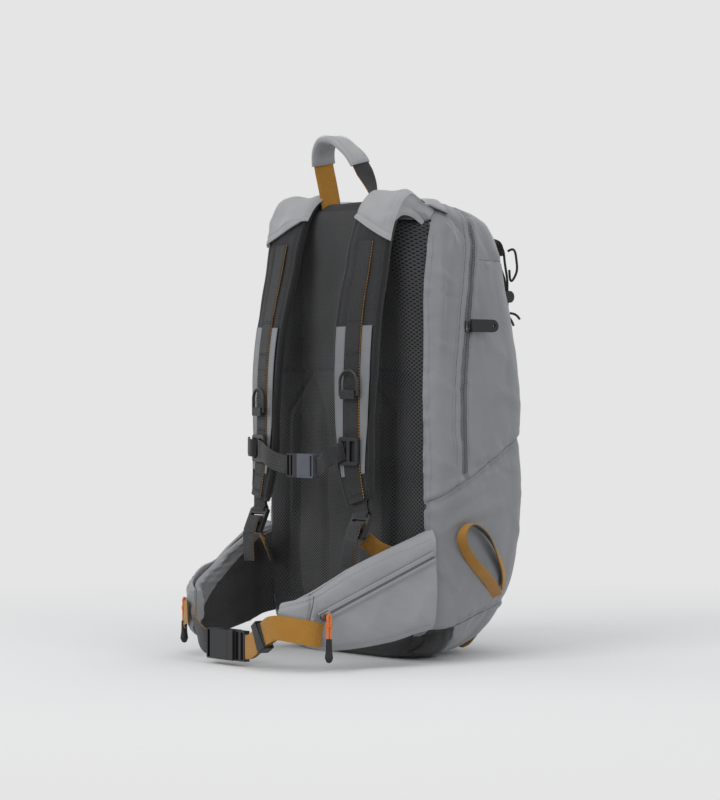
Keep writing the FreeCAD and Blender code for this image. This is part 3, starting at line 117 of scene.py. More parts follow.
def spline(points, count):
    """count evenly spaced points on a natural cubic through the given ones."""
    p = np.asarray(points, float)
    m = len(p)
    run = np.r_[0, np.cumsum(np.linalg.norm(np.diff(p, axis=0), axis=1))]
    h = np.diff(run)
    matrix = np.zeros((m, m))
    right = np.zeros((m, p.shape[1]))
    matrix[0, 0] = matrix[-1, -1] = 1
    for i in range(1, m - 1):
        matrix[i, i - 1:i + 2] = h[i - 1], 2 * (h[i - 1] + h[i]), h[i]
        right[i] = 6 * ((p[i + 1] - p[i]) / h[i] - (p[i] - p[i - 1]) / h[i - 1])
    second = np.linalg.solve(matrix, right)
    t = np.linspace(0, run[-1], max(count * 8, 200))
    k = np.clip(np.searchsorted(run, t, "right") - 1, 0, m - 2)
    a = ((run[k + 1] - t) / h[k])[:, None]
    b = ((t - run[k]) / h[k])[:, None]
    bend = (a ** 3 - a) * second[k] + (b ** 3 - b) * second[k + 1]
    curve = a * p[k] + b * p[k + 1] + bend * (h[k] ** 2)[:, None] / 6
    return resample(curve, count)


def spread(values, fraction):
    """Values spread evenly over 0..1, looked up with straight lines between."""
    v = np.asarray(values, float)
    fraction = np.asarray(fraction, float)
    if v.ndim == 0:
        return np.full(fraction.shape, float(v))
    t = np.clip(fraction, 0, 1) * (len(v) - 1)
    k = np.minimum(t.astype(int), len(v) - 2)
    w = t - k
    if v.ndim == 2:
        w = w[:, None]
    return v[k] * (1 - w) + v[k + 1] * w


def sample(rows, k):
    """3D rows looked up at fractional indices."""
    index = np.arange(len(rows))
    return np.stack([np.interp(k, index, rows[:, c]) for c in range(3)], -1)


def tangents(p):
    t = np.empty_like(p)
    t[1:-1] = p[2:] - p[:-2]
    t[0], t[-1] = p[1] - p[0], p[-1] - p[-2]
    return unit(t)


class Track:
    """Stations along a piece: point, direction of run, width direction and normal."""

    def __init__(self, point, along, across, normal):
        self.point, self.along, self.across, self.normal = point, along, across, normal
        self.count = len(point)

    def remade(self, change):
        rows = (self.point, self.along, self.across, self.normal)
        return Track(*[change(r) for r in rows])

    def part(self, start, stop):
        return self.remade(lambda r: r[start:stop])

    def on(self, side):
        """Itself on the right, its mirror image on the left."""
        return self if side > 0 else self.remade(lambda r: r * vec(-1, 1, 1))

    def fractions(self):
        return np.linspace(0, 1, self.count)

    def across_at(self, offsets):
        return self.point[:, None, :] + self.across[:, None, :] * offsets[..., None]

    def surface(self, ring):
        """Points of a (count, M, 2) section of width and normal offsets."""
        return self.across_at(ring[..., 0]) + self.normal[:, None, :] * ring[..., 1:2]

    def line(self, across, lift):
        return (self.point + self.across * np.reshape(across, (-1, 1))
                + self.normal * np.reshape(lift, (-1, 1)))

    def front_sign(self):
        """+1 where the normal at mid-length points to -y."""
        return 1.0 if self.normal[self.count // 2][1] < 0 else -1.0


def make_track(points, width_dirs, count, upright=False):
    """A track on a spline. An upright one keeps its width directions as given."""
    p = spline(points, count)
    t = tangents(p)
    w = spread(width_dirs, np.linspace(0, 1, count))
    if not upright:
        w = unit(w - t * (w * t).sum(1)[:, None])
    return Track(p, t, w, unit(np.cross(t, w)))


# ---------------------------------------------------------------- meshes
def grid_quads(rows, cols, closed=True):
    i = np.arange(rows - 1)[:, None] * cols
    j = np.arange(cols if closed else cols - 1)[None, :]
    k = (j + 1) % cols
    return np.stack([i + j, i + k, i + cols + k, i + cols + j], -1).reshape(-1, 4)


class Soup:
    """Vertices in mm, faces, a material index per face and uv per corner in mm."""

    def __init__(self):
        self.points, self.faces, self.mats, self.uvs = [], [], [], []
        self.count = 0

    def add(self, points, faces, mats=0, uv=None, wrap=None):
        """wrap is the girth at which u starts again, for closed sections."""
        points = np.asarray(points, float)
        sizes = np.array([len(f) for f in faces])
        corners = np.array([i for f in faces for i in f], int)
        if uv is None:
            uv = points[:, [0, 2]]
        uv = np.asarray(uv, float)[corners].copy()
        if wrap:
            starts = np.cumsum(sizes) - sizes
            span = np.maximum.reduceat(uv[:, 0], starts) - np.minimum.reduceat(uv[:, 0], starts)
            over = np.repeat(span > wrap / 2.0, sizes) & (uv[:, 0] < wrap / 2.0)
            uv[over, 0] += wrap
        self.points.append(points)
        self.faces.extend([tuple(i + self.count for i in f) for f in faces])
        self.mats.extend(list(mats) if hasattr(mats, "__len__") else [mats] * len(faces))
        self.uvs.append(uv)
        self.count += len(points)

    def make(self, name, materials, angle):
        mesh = bpy.data.meshes.new(name)
        mesh.from_pydata((np.concatenate(self.points) * 0.001).tolist(), [], self.faces)
        uv = mesh.uv_layers.new(name="UVMap")
        uv.data.foreach_set("uv", np.concatenate(self.uvs).astype(np.float32).ravel())
        for material in materials:
            mesh.materials.append(material)
        mesh.polygons.foreach_set("material_index", np.array(self.mats, np.int32))
        mesh.polygons.foreach_set("use_smooth", np.full(len(self.faces), True))
        mesh.update()
        mesh.set_sharp_from_angle(angle=math.radians(angle))
        obj = bpy.data.objects.new(name, mesh)
        bpy.context.scene.collection.objects.link(obj)
        return obj


def place(soup, name, materials, blend=None, angle=50.0):
    """Makes the soft piece that stands in for the CAD piece of the same name."""
    obj = soup.make("soft_" + name, materials, angle)
    if blend:
        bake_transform(obj)
    else:
        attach(obj, BODY[name])
    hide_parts(name)


def volume(points, faces):
    total = 0.0
    for f in faces:
        for i in range(1, len(f) - 1):
            total += np.dot(points[f[0]], np.cross(points[f[i]], points[f[i + 1]]))
    return total


def sweep(soup, track, ring, mats, cap_mat=None):
    """A closed section carried along a track, with capped ends.

    ring: (N, M, 2) of width and normal offsets. mats: one, M, or (N-1, M) indices.
    """
    N, M = ring.shape[:2]
    surface = track.surface(ring)
    flat = surface.reshape(-1, 3)
    faces = grid_quads(N, M).tolist()
    mats = np.broadcast_to(np.asarray(mats), (N - 1, M))
    faces.append(tuple(range(M - 1, -1, -1)))
    faces.append(tuple((N - 1) * M + k for k in range(M)))
    cap_mat = int(mats[0, 0]) if cap_mat is None else cap_mat
    middle = ring[N // 2]
    steps = np.linalg.norm(np.roll(middle, -1, 0) - middle, axis=1)
    u = np.r_[0, np.cumsum(steps)[:-1]]
    v = np.r_[0, np.cumsum(np.linalg.norm(np.diff(track.point, axis=0), axis=1))]
    uv = np.stack(np.broadcast_arrays(u[None, :], v[:, None]), -1).reshape(-1, 2)
    if volume(flat, faces) < 0:
        faces = [tuple(reversed(f)) for f in faces]
    soup.add(flat, faces, mats.reshape(-1).tolist() + [cap_mat] * 2, uv, wrap=steps.sum())
    return surface


def stack_ring(points):
    """Section points, each a pair of per-station arrays, as an (N, M, 2) ring."""
    return np.stack([np.stack(p, -1) for p in points], 1)


def band_ring(count, width, thick, cols=8):
    """A flat band's section. Tags: 0 outer face, 1 edge, 2 inner face."""
    f = np.linspace(0, 1, count)
    half_w, half_t = spread(width, f) / 2, spread(thick, f) / 2
    points, tags = [], []
    for face, tag in ((1, 0), (-1, 2)):
        for a in np.linspace(-1, 1, cols + 1)[::face]:
            end = abs(a) > 0.999
            points.append((a * (half_w - 0.25 * half_t * end), face * half_t * (1 - 0.35 * end)))
            tags.append(tag)
        tags[-1] = 1
    return stack_ring(points), tags


def webbing(soup, track, width, thick, out, off=0.0, mats=(0, 1, 2), wobble=0.0, seed=1):
    """A woven band. out is +1 if the normal points to the outer face.

    mats: outer, edge, inner.
    """
    ring, tags = band_ring(track.count, width, thick)
    ring[:, :, 1] = ring[:, :, 1] * out + off
    if wobble:
        field = waves(seed, 5, 25, 60)(track.across_at(ring[:, :, 0]))
        ring[:, :, 1] += wobble * field * np.sin(np.pi * track.fractions())[:, None]
    sweep(soup, track, ring, [mats[t] for t in tags], cap_mat=mats[1])


def pad_ring(count, width, thick, out, puff, edge, cols):
    """A padded section with round edges. Tags: 0 outer face, 1 edge, 2 inner face."""
    inner_puff = 1.0
    corner_steps = 6
    f = np.linspace(0, 1, count)
    half_w, half_t = spread(width, f) / 2, spread(thick, f) / 2
    edge_w = np.minimum(edge, half_t * 0.9)
    flat_w = half_w - edge_w
    points, tags = [], []
    for face, tag, bulge in ((1, 0, puff), (-1, 2, inner_puff)):
        for a in np.linspace(-1, 1, cols + 1)[::face]:
            points.append((a * flat_w, face * (half_t + bulge * (1 - a ** 4))))
            tags.append(tag)
        tags[-1] = 1
        for k in range(1, corner_steps):
            angle = face * math.pi / 2 - math.pi * k / corner_steps
            points.append((face * flat_w + edge_w * math.cos(angle), half_t * math.sin(angle)))
            tags.append(1)
    ring = stack_ring(points)
    ring[:, :, 1] *= out
    return ring, tags


def sheet_normals(sheet, outward):
    """Normals of a grid of points, each turned to the outward side."""
    n = unit(np.cross(np.gradient(sheet, axis=0), np.gradient(sheet, axis=1)))
    return n * np.where((n * outward).sum(-1) < 0, -1.0, 1.0)[..., None]


def two_ply(soup, outer, normals, thickness, u, v, probe, rim_start=0):
    """A cloth sheet with thickness. probe is the quad whose winding is set outward;
    rim_start is the corner at which each rim quad begins."""
    rows, cols = outer.shape[:2]
    count = rows * cols
    points = np.concatenate([outer.reshape(-1, 3), (outer - normals * thickness).reshape(-1, 3)])
    quads = grid_quads(rows, cols, closed=False)
    rim = ([*range(cols)] + [k * cols + cols - 1 for k in range(1, rows)]
           + [(rows - 1) * cols + k for k in range(cols - 2, -1, -1)]
           + [k * cols for k in range(rows - 2, 0, -1)])
    faces = quads.tolist() + (quads[:, ::-1] + count).tolist()
    for a, b in zip(rim, rim[1:] + rim[:1]):
        quad = (b, a, a + count, b + count)
        faces.append(quad[rim_start:] + quad[:rim_start])
    first = quads[probe][0]
    a, b, c = points[quads[probe][:3]]
    if np.dot(np.cross(b - a, c - b), normals.reshape(-1, 3)[first]) < 0:
        faces = [tuple(reversed(f)) for f in faces]
    uv = np.stack(np.broadcast_arrays(u[None, :], v[:, None]), -1).reshape(-1, 2)
    soup.add(points, faces, 0, np.concatenate([uv, uv]))


def polyline_frames(points, normals, pitch):
    """Centres, run, width and normal directions at a pitch along a line."""
    points = np.asarray(points, float)
    normals = np.asarray(normals, float)
    run = np.r_[0, np.cumsum(np.linalg.norm(np.diff(points, axis=0), axis=1))]
    t = np.arange(pitch * 0.5, run[-1] - pitch * 0.3, pitch)

    def look(rows, at):
        return np.stack([np.interp(at, run, rows[:, j]) for j in range(3)], 1)
    along = unit(look(points, t + 0.4) - look(points, t - 0.4))
    normal = unit(look(normals, t))
    normal = unit(normal - along * (normal * along).sum(1)[:, None])
    return look(points, t), along, np.cross(along, normal), normal


def stitches(soup, points, normals, mat, pitch=3.6, length=2.5, radius=0.42, lift=0.25):
    """A row of short thread stitches along a line."""
    centre, along, across, normal = polyline_frames(points, normals, pitch)
    # place along the stitch and fullness there
    profile = [(-0.5, 0.0), (-0.32, 0.8), (0.0, 1.0), (0.32, 0.8), (0.5, 0.0)]
    columns = []
    for a, full in profile:
        thick = radius * max(full, 0.15)
        for degrees in (0, 90, 180, 270):
            angle = math.radians(degrees)
            rise = math.sin(angle) * thick * 0.8 + lift * full - 0.25 * (1 - full)
            columns.append(centre + along * (a * length)
                           + across * (math.cos(angle) * thick) + normal * rise)
    per = len(columns)
    quads = grid_quads(len(profile), 4).tolist() + [(3, 2, 1, 0), tuple(range(per - 4, per))]
    faces = [tuple(i + k * per for i in f) for k in range(len(centre)) for f in quads]
    soup.add(np.stack(columns, 1).reshape(-1, 3), faces, mat)


def tack(soup, centre, across, half, normal, mat, **thread):
    """A row of stitches straight across a band."""
    ends = np.array([centre - across * half, centre + across * half])
    stitches(soup, ends, np.array([normal] * 2), mat, **thread)


def boxes(soup, centre, along, across, normal, size, mat):
    """One small tapered block per point, its size given along, across and up."""
    long, wide, high = [s / 2.0 for s in size]
    columns = []
    for h, taper in ((-1, 1.0), (1, 0.8)):
        for a, b in ((-1, -1), (1, -1), (1, 1), (-1, 1)):
            columns.append(centre + along * (a * long * taper)
                           + across * (b * wide * taper) + normal * (h * high))
    cube = [(3, 2, 1, 0), (4, 5, 6, 7), (0, 1, 5, 4), (1, 2, 6, 5), (2, 3, 7, 6), (3, 0, 4, 7)]
    faces = [tuple(i + k * 8 for i in f) for k in range(len(centre)) for f in cube]
    soup.add(np.stack(columns, 1).reshape(-1, 3), faces, mat)


def zip_teeth(soup, points, normals, pitch, offset, size, mat):
    """Teeth set by turns to either side of a line. Returns the line's frames."""
    frames = polyline_frames(points, normals, pitch)
    for first, sign in ((0, -1), (1, 1)):
        centre, along, across, normal = [a[first::2] for a in frames]
        boxes(soup, centre + across * (sign * offset), along, across, normal, size, mat)
    return frames


def tube(soup, points, radius, count=40, sides=14, closed=False):
    """A round cord. A closed one takes its points as they are."""
    p = np.asarray(points, float) if closed else spline(points, count)
    t = tangents(p)
    guess = vec(0.3, 0.2, 1.0) if abs(t[0][2]) < 0.8 else vec(1.0, 0.2, 0)
    across = np.empty_like(p)
    u = unit(guess - t[0] * (guess @ t[0]))
    for i in range(len(p)):
        u = unit(u - t[i] * (u @ t[i]))
        across[i] = u
    a = np.linspace(0, 2 * math.pi, sides, endpoint=False)
    circle = radius * np.stack([np.cos(a), np.sin(a)], -1)
    ring = np.broadcast_to(circle, (len(p), sides, 2))
    sweep(soup, Track(p, t, across, np.cross(t, across)), ring, 0)


# ---------------------------------------------------------------- materials
class Shader:
    """A node material with short calls for the nodes used here. Lengths are in mm."""

    def __init__(self, name):
        self.material = bpy.data.materials.new(name)
        self.material.use_nodes = True
        self.tree = self.material.node_tree
        self.tree.nodes.clear()
        self.output = self.tree.nodes.new("ShaderNodeOutputMaterial")

    def put(self, socket, value):
        if isinstance(value, bpy.types.NodeSocket):
            self.tree.links.new(value, socket)
        else:
            socket.default_value = value

    def node(self, kind, operation=None, **inputs):
        node = self.tree.nodes.new(kind)
        if operation:
            node.operation = operation
        for name, value in inputs.items():
            self.put(node.inputs[name], value)
        return node

    def math(self, operation, *values):
        node = self.node("ShaderNodeMath", operation)
        for socket, value in zip(node.inputs, values):
            self.put(socket, value)
        return node.outputs[0]

    def uv(self):
        split = self.node("ShaderNodeSeparateXYZ", Vector=self.node("ShaderNodeUVMap").outputs[0])
        return split.outputs[0], split.outputs[1]

    def scaled(self, vector, factor):
        node = self.node("ShaderNodeVectorMath", "SCALE", Scale=factor)
        self.put(node.inputs[0], vector)
        return node.outputs[0]

    def position(self):
        """The rest position in mm."""
        return self.scaled(self.node("ShaderNodeTexCoord").outputs["Object"], 1000.0)

    def noise(self, vector, scale, detail=3.0, rough=0.5):
        return self.node("ShaderNodeTexNoise", Vector=vector, Scale=scale,
                         Detail=detail, Roughness=rough).outputs[0]

    def ramp(self, value, to, span=(0.3, 0.7)):
        """Maps span to the range `to`. The usual span is the middle of a noise."""
        node = self.node("ShaderNodeMapRange", Value=value)
        for name, number in zip(("From Min", "From Max", "To Min", "To Max"), (*span, *to)):
            self.put(node.inputs[name], number)
        return node.outputs[0]

    def wave(self, x, period):
        phase = 0.0
        turns = self.math("MULTIPLY", x, 2 * math.pi / period)
        return self.math("SINE", self.math("ADD", turns, phase))

    def unit_wave(self, x, period):
        """A wave from 0 to 1."""
        return self.math("MULTIPLY_ADD", self.wave(x, period), 0.5, 0.5)

    def mix(self, factor, a, b):
        node = self.node("ShaderNodeMix")
        node.data_type = "RGBA"
        self.put(node.inputs[0], factor)
        self.put(node.inputs[6], (*a, 1.0))
        self.put(node.inputs[7], (*b, 1.0))
        return node.outputs[2]

    def finish(self, color, roughness, bumps, metallic=0.0, sheen=0.0, specular=0.5):
        """bumps: rows of height socket, distance in mm, strength."""
        surface = self.tree.nodes.new("ShaderNodeBsdfPrincipled")
        self.put(surface.inputs["Base Color"], color)
        self.put(surface.inputs["Roughness"], roughness)
        self.put(surface.inputs["Metallic"], metallic)
        self.put(surface.inputs["Specular IOR Level"], specular)
        if sheen:
            self.put(surface.inputs["Sheen Weight"], sheen)
            self.put(surface.inputs["Sheen Roughness"], 0.4)
        last = None
        for height, distance, strength in bumps:
            bump = self.node("ShaderNodeBump", Strength=strength,
                             Distance=distance * 0.001, Height=height)
            if last is not None:
                self.put(bump.inputs["Normal"], last)
            last = bump.outputs[0]
        self.put(surface.inputs["Normal"], last)
        self.tree.links.new(surface.outputs[0], self.output.inputs[0])
        return self.material


def fabric(name, base, pitch=0.85, bump=0.16, rough=0.62, sheen=0.25, mottle=0.10, crease=0.5):
    """Plain-woven cloth with thread relief, slub, faint wear and small creases."""
    m = Shader(name)
    u, v = m.uv()
    pos = m.position()
    weave = m.math("MULTIPLY", m.wave(u, pitch), m.wave(v, pitch))
    weave = m.math("MULTIPLY_ADD", weave, 0.5, 0.5)
    slub = m.noise(pos, scale=1.1, detail=2.0)
    big = m.noise(pos, scale=0.016, rough=0.6)
    fine = m.noise(pos, scale=0.25)
    wear = m.noise(pos, scale=0.05, detail=5.0, rough=0.7)
    tone = m.math("ADD", m.ramp(weave, span=(0, 1), to=(0.94, 1.05)),
                  m.ramp(big, to=(-mottle * 0.6, mottle * 0.6)))
    tone = m.math("ADD", tone, m.ramp(slub, to=(-0.03, 0.03)))
    tone = m.math("ADD", tone, m.ramp(wear, span=(0.62, 0.8), to=(0.0, mottle * 0.8)))
    color = m.scaled(base, tone)
    roughness = m.ramp(fine, to=(rough - 0.06, rough + 0.06))
    bumps = [(weave, bump, 0.35), (slub, 0.25, 0.25),
             (fine, 1.2 * crease, 0.25), (wear, 3.0 * crease, 0.18)]
    return m.finish(color, roughness, bumps, sheen=sheen, specular=0.35)


def mesh_cloth(name, pitch_u, pitch_v, thread, hole=(0.0075, 0.0075, 0.008), depth=0.9):
    """Spacer mesh: a lattice of threads round staggered diamond holes."""
    m = Shader(name)
    u, v = m.uv()
    pos = m.position()

    def diagonal(operation):
        return m.math(operation, m.math("MULTIPLY", u, math.pi / pitch_u),
                      m.math("MULTIPLY", v, math.pi / pitch_v))
    rising = diagonal("ADD")
    falling = diagonal("SUBTRACT")
    lattice = m.math("MULTIPLY", m.math("ABSOLUTE", m.math("SINE", rising)),
                     m.math("ABSOLUTE", m.math("SINE", falling)))
    holes = m.ramp(lattice, span=(0.30, 0.62), to=(0.0, 1.0))
    twist = m.math("MULTIPLY", m.wave(m.math("ADD", u, v), period=0.55), 0.5)
    big = m.noise(pos, scale=0.02)
    color = m.mix(holes, thread, hole)
    color = m.scaled(color, m.math("ADD", m.ramp(big, to=(0.86, 1.16)),
                                   m.math("MULTIPLY", twist, 0.12)))
    relief = m.math("SUBTRACT", 1.0, holes)
    fine = m.noise(pos, scale=0.12, detail=2.0)
    bumps = [(relief, depth, 0.7), (twist, 0.12, 0.3), (fine, 1.5, 0.2)]
    return m.finish(color, 0.78, bumps, sheen=0.12, specular=0.25)


def web_cloth(name, base, rib=1.7):
    """Heavy ribbed webbing: herringbone ribs across the band."""
    column = 1.6
    m = Shader(name)
    u, v = m.uv()
    pos = m.position()
    zigzag = m.math("PINGPONG", u, column)
    ribs = m.unit_wave(m.math("ADD", v, m.math("MULTIPLY", zigzag, 0.8)), rib)
    columns = m.unit_wave(u, column)
    height = m.math("MULTIPLY_ADD", columns, 0.35, ribs)
    big = m.noise(pos, scale=0.04, detail=4.0, rough=0.6)
    fuzz = m.noise(pos, scale=2.2, detail=2.0)
    # darker in the rib valleys: painted shade; big and fuzz vary the tone at random
    tone = m.math("ADD", m.ramp(ribs, span=(0, 1), to=(0.60, 1.08)), m.ramp(big, to=(-0.08, 0.08)))
    tone = m.math("ADD", tone, m.ramp(fuzz, span=(0.35, 0.65), to=(-0.04, 0.04)))
    bumps = [(height, 0.6, 0.8), (fuzz, 0.2, 0.25)]
    return m.finish(m.scaled(base, tone), 0.6, bumps, sheen=0.2, specular=0.3)


def edge_cloth(name, dark, bright):
    """A webbing edge in two colours by turns."""
    m = Shader(name)
    _, v = m.uv()
    stripe = m.wave(v, period=2.6)
    share = m.ramp(stripe, span=(-0.2, 0.25), to=(0.0, 1.0))
    return m.finish(m.mix(share, dark, bright), 0.65, [(stripe, 0.4, 0.6)],
                    sheen=0.2, specular=0.3)


def plastic(name, base, rough=0.36, grain=0.12, specular=0.5):
    """Moulded plastic with fine grain and scuffs."""
    m = Shader(name)
    pos = m.position()
    fine = m.noise(pos, scale=1.6)
    big = m.noise(pos, scale=0.09, detail=4.0, rough=0.6)
    scuff = m.noise(pos, scale=0.5, detail=6.0, rough=0.75)
    color = m.scaled(base, m.math("ADD", m.ramp(big, to=(0.9, 1.12)),
                                  m.ramp(scuff, span=(0.62, 0.75), to=(0.0, 0.22))))
    roughness = m.math("ADD", m.ramp(big, to=(rough - 0.05, rough + 0.07)),
                       m.ramp(scuff, span=(0.6, 0.75), to=(0.0, 0.15)))
    return m.finish(color, roughness, [(fine, grain, 0.3), (scuff, 0.1, 0.2)], specular=specular)


def metal(name, base, rough):
    m = Shader(name)
    pos = m.position()
    stain = m.noise(pos, scale=0.5, detail=5.0, rough=0.7)
    fine = m.noise(pos, scale=3.0)
    color = m.scaled(base, m.ramp(stain, to=(0.75, 1.15)))
    roughness = m.ramp(stain, to=(rough - 0.06, rough + 0.12))
    return m.finish(color, roughness, [(fine, 0.05, 0.3)], metallic=1.0)


def braid(name, base, dark):
    """Braided cord; dark is the painted shade between the strands."""
    strand, slant = 1.95, 1.0
    m = Shader(name)
    u, v = m.uv()
    one = m.wave(m.math("ADD", m.math("MULTIPLY", u, slant), v), strand)
    other = m.wave(m.math("SUBTRACT", m.math("MULTIPLY", u, slant), v), strand)
    height = m.math("MAXIMUM", one, other)
    # darker between the strands: painted shade
    color = m.scaled(base, m.ramp(height, span=(-0.4, 1.0), to=(dark, 1.1)))
    return m.finish(color, 0.6, [(height, 0.35, 0.7)], sheen=0.2, specular=0.3)


def thread(name, base):
    m = Shader(name)
    pos = m.position()
    noise = m.noise(pos, scale=2.5, detail=2.0)
    color = m.scaled(base, m.ramp(noise, to=(0.85, 1.12)))
    return m.finish(color, 0.5, [(noise, 0.15, 0.4)], sheen=0.3)


def reflective(name, base):
    m = Shader(name)
    u, v = m.uv()
    pos = m.position()
    weave = m.math("MULTIPLY", m.wave(u, period=0.8), m.wave(v, period=0.8))
    noise = m.noise(pos, scale=0.06, detail=4.0, rough=0.6)
    color = m.scaled(base, m.math("ADD", m.ramp(noise, to=(0.93, 1.07)),
                                  m.math("MULTIPLY", weave, 0.03)))
    return m.finish(color, 0.42, [(weave, 0.1, 0.3), (noise, 1.0, 0.2)],
                    specular=0.6, metallic=0.15)


SHELL = fabric("shell_fabric", (0.222, 0.227, 0.239))
# a paler grey than the shell: painted top light, as the yoke covers and the haul grip face up
YOKE_TOPLIT_FABRIC = fabric("yoke_fabric", (0.315, 0.318, 0.326), crease=0.7)
WING_CLOTH = fabric("wing_fabric", (0.272, 0.275, 0.286), crease=0.8)
BOOT = fabric("boot_fabric", (0.026, 0.026, 0.028), pitch=1.2, bump=0.3, sheen=0.1)
STRAP_CLOTH = fabric("strap_fabric", (0.0185, 0.0185, 0.020), pitch=1.0, bump=0.25, rough=0.7,
                     sheen=0.1, mottle=0.2)
BINDING = web_cloth("binding_tape", (0.017, 0.017, 0.018), rib=1.3)
AIR_MESH = mesh_cloth("air_mesh", 3.3, 2.8, thread=(0.082, 0.082, 0.084),
                      hole=(0.012, 0.012, 0.0125), depth=1.2)
OPEN_MESH = mesh_cloth("air_mesh_open", 4.9, 4.2, thread=(0.052, 0.052, 0.054))
WEB_BLACK = web_cloth("webbing_black", (0.0235, 0.0235, 0.025))
WEB_MUSTARD = web_cloth("webbing_mustard", (0.50, 0.235, 0.030))
EDGE_BLACK = edge_cloth("webbing_edge", (0.020, 0.019, 0.018), (0.30, 0.15, 0.025))
EDGE_MUSTARD = edge_cloth("webbing_edge_mustard", (0.10, 0.055, 0.014), (0.46, 0.21, 0.028))
ZIP_TAPE = fabric("zip_tape", (0.150, 0.155, 0.165), pitch=0.8, bump=0.1, mottle=0.04)
ZIP_TEETH = plastic("zip_teeth", (0.062, 0.064, 0.070), rough=0.4)
REFLECTIVE = reflective("reflective", (0.18, 0.186, 0.195))
THREAD_GREY = thread("thread_grey", (0.150, 0.155, 0.165))
THREAD_LIGHT = thread("thread_light", (0.30, 0.305, 0.315))
THREAD_BLACK = thread("thread_black", (0.016, 0.016, 0.017))
THREAD_MUSTARD = thread("thread_mustard", (0.42, 0.20, 0.03))
# painted seam shadow: a dark cloth drawn as thin lines along the seams and beside the main zip
SEAM_SHADE_PAINT = fabric("seam_painted_shade", (0.040, 0.041, 0.045), pitch=0.8, bump=0.1, mottle=0.02)
# a spare, paler seam tone in the palette
fabric("seam_shadow", (0.105, 0.108, 0.114), pitch=0.8, bump=0.1, mottle=0.02)
ACETAL = plastic("acetal_black", (0.017, 0.017, 0.0185))
ACETAL_GREY = plastic("acetal_grey", (0.085, 0.090, 0.108), rough=0.34)
ZIP_METAL = metal("zip_metal", (0.30, 0.295, 0.29), rough=0.3)
RUBBER = plastic("rubber_black", (0.016, 0.016, 0.017), rough=0.55, grain=0.2, specular=0.35)
CORD = braid("cord_black", (0.020, 0.020, 0.021), dark=0.6)
CORD_ORANGE = braid("cord_orange", (0.85, 0.20, 0.03), dark=0.7)
ELASTIC = web_cloth("elastic_black", (0.02, 0.02, 0.021), rib=1.1)
FOAM = plastic("foam", (0.06, 0.06, 0.065), rough=0.9, grain=0.6, specular=0.1)
SHEET = plastic("frame_plastic", (0.03, 0.03, 0.032), rough=0.5)
MUSTARD_BAND = [WEB_MUSTARD, EDGE_MUSTARD, WEB_BLACK]

# ---------------------------------------------------------------- the bag's rest form
BAG_TOP = 475.0
TOP_DOME = 3.0
# height; y of the back and front; half-width at the back and front; corner radius at the same
SECTIONS = np.array([
    (0.0, 14.0, 98.0, 84.0, 70.0, 40.0, 44.0), (7.0, 5.0, 115.0, 104.0, 84.0, 36.0, 48.0),
    (23.0, 0.0, 137.0, 127.0, 96.0, 30.0, 50.0), (60.0, 0.0, 160.0, 136.0, 108.0, 23.0, 46.0),
    (102.0, 0.0, 170.0, 138.5, 112.0, 20.0, 44.0), (165.0, 0.0, 175.0, 138.5, 113.0, 20.0, 42.0),
    (218.0, 0.0, 174.0, 136.5, 113.0, 21.0, 42.0), (271.0, 0.0, 172.0, 133.0, 112.0, 23.0, 42.0),
    (345.0, 0.0, 165.0, 126.0, 108.0, 28.0, 42.0), (388.0, 0.0, 159.0, 121.0, 104.0, 33.0, 42.0),
    (434.0, 0.0, 152.0, 114.0, 99.0, 40.0, 41.0), (454.0, 1.0, 144.0, 108.0, 94.0, 42.0, 43.0),
    (465.0, 4.0, 130.0, 101.0, 87.0, 44.0, 46.0), (475.0, 13.0, 98.0, 84.0, 70.0, 40.0, 42.0)])
# height and y of the main zip, and of the back mesh's edge
ZIP_TABLE = [(150, 56.0), (190, 54.0), (240, 53.5), (290, 56.8), (345, 68.9), (390, 78.6),
             (425, 87.5), (450, 91.0), (470, 90.0), (520, 89.0)]
MESH_TABLE = [(0, 3.0), (190, 3.0), (276, 5.5), (384, 14.0), (444, 26.0), (462, 36.0),
              (520, 44.0)]
ZIP_HALF = 4.0                  # half the main zip tape's width
BOOT_Y = 50.0                   # where the boot meets the base panel
BASE_Z = 26.0                   # the base seam's height at the back
CROSS_SEAM_Z = 416.0            # the seam across the front
# outline points on the front half-line, front corner, side, back corner, back half-line
OUTLINE_COUNTS = (24, 14, 44, 14, 28)


def monotone_cubic(x, xs, ys):
    h = np.diff(xs)
    d = np.diff(ys) / h
    slope = np.zeros(len(xs))
    for i in range(1, len(xs) - 1):
        if d[i - 1] * d[i] > 0:
            w1, w2 = 2 * h[i] + h[i - 1], h[i] + 2 * h[i - 1]
            slope[i] = (w1 + w2) / (w1 / d[i - 1] + w2 / d[i])
    slope[0], slope[-1] = d[0], d[-1]
    k = np.clip(np.searchsorted(xs, x, "right") - 1, 0, len(xs) - 2)
    t = (x - xs[k]) / h[k]
    return ((2 * t ** 3 - 3 * t ** 2 + 1) * ys[k] + (t ** 3 - 2 * t ** 2 + t) * h[k] * slope[k]
            + (-2 * t ** 3 + 3 * t ** 2) * ys[k + 1] + (t ** 3 - t ** 2) * h[k] * slope[k + 1])


def soft_lookup(z, table):
    """A table looked up with its corners averaged away."""
    a = np.array(table, float)
    return sum(np.interp(z + dz, a[:, 0], a[:, 1]) for dz in (-14, -7, 0, 7, 14)) / 5.0


def zip_y(z):
    return soft_lookup(z, ZIP_TABLE)


def mesh_y(z):
    return soft_lookup(z, MESH_TABLE)


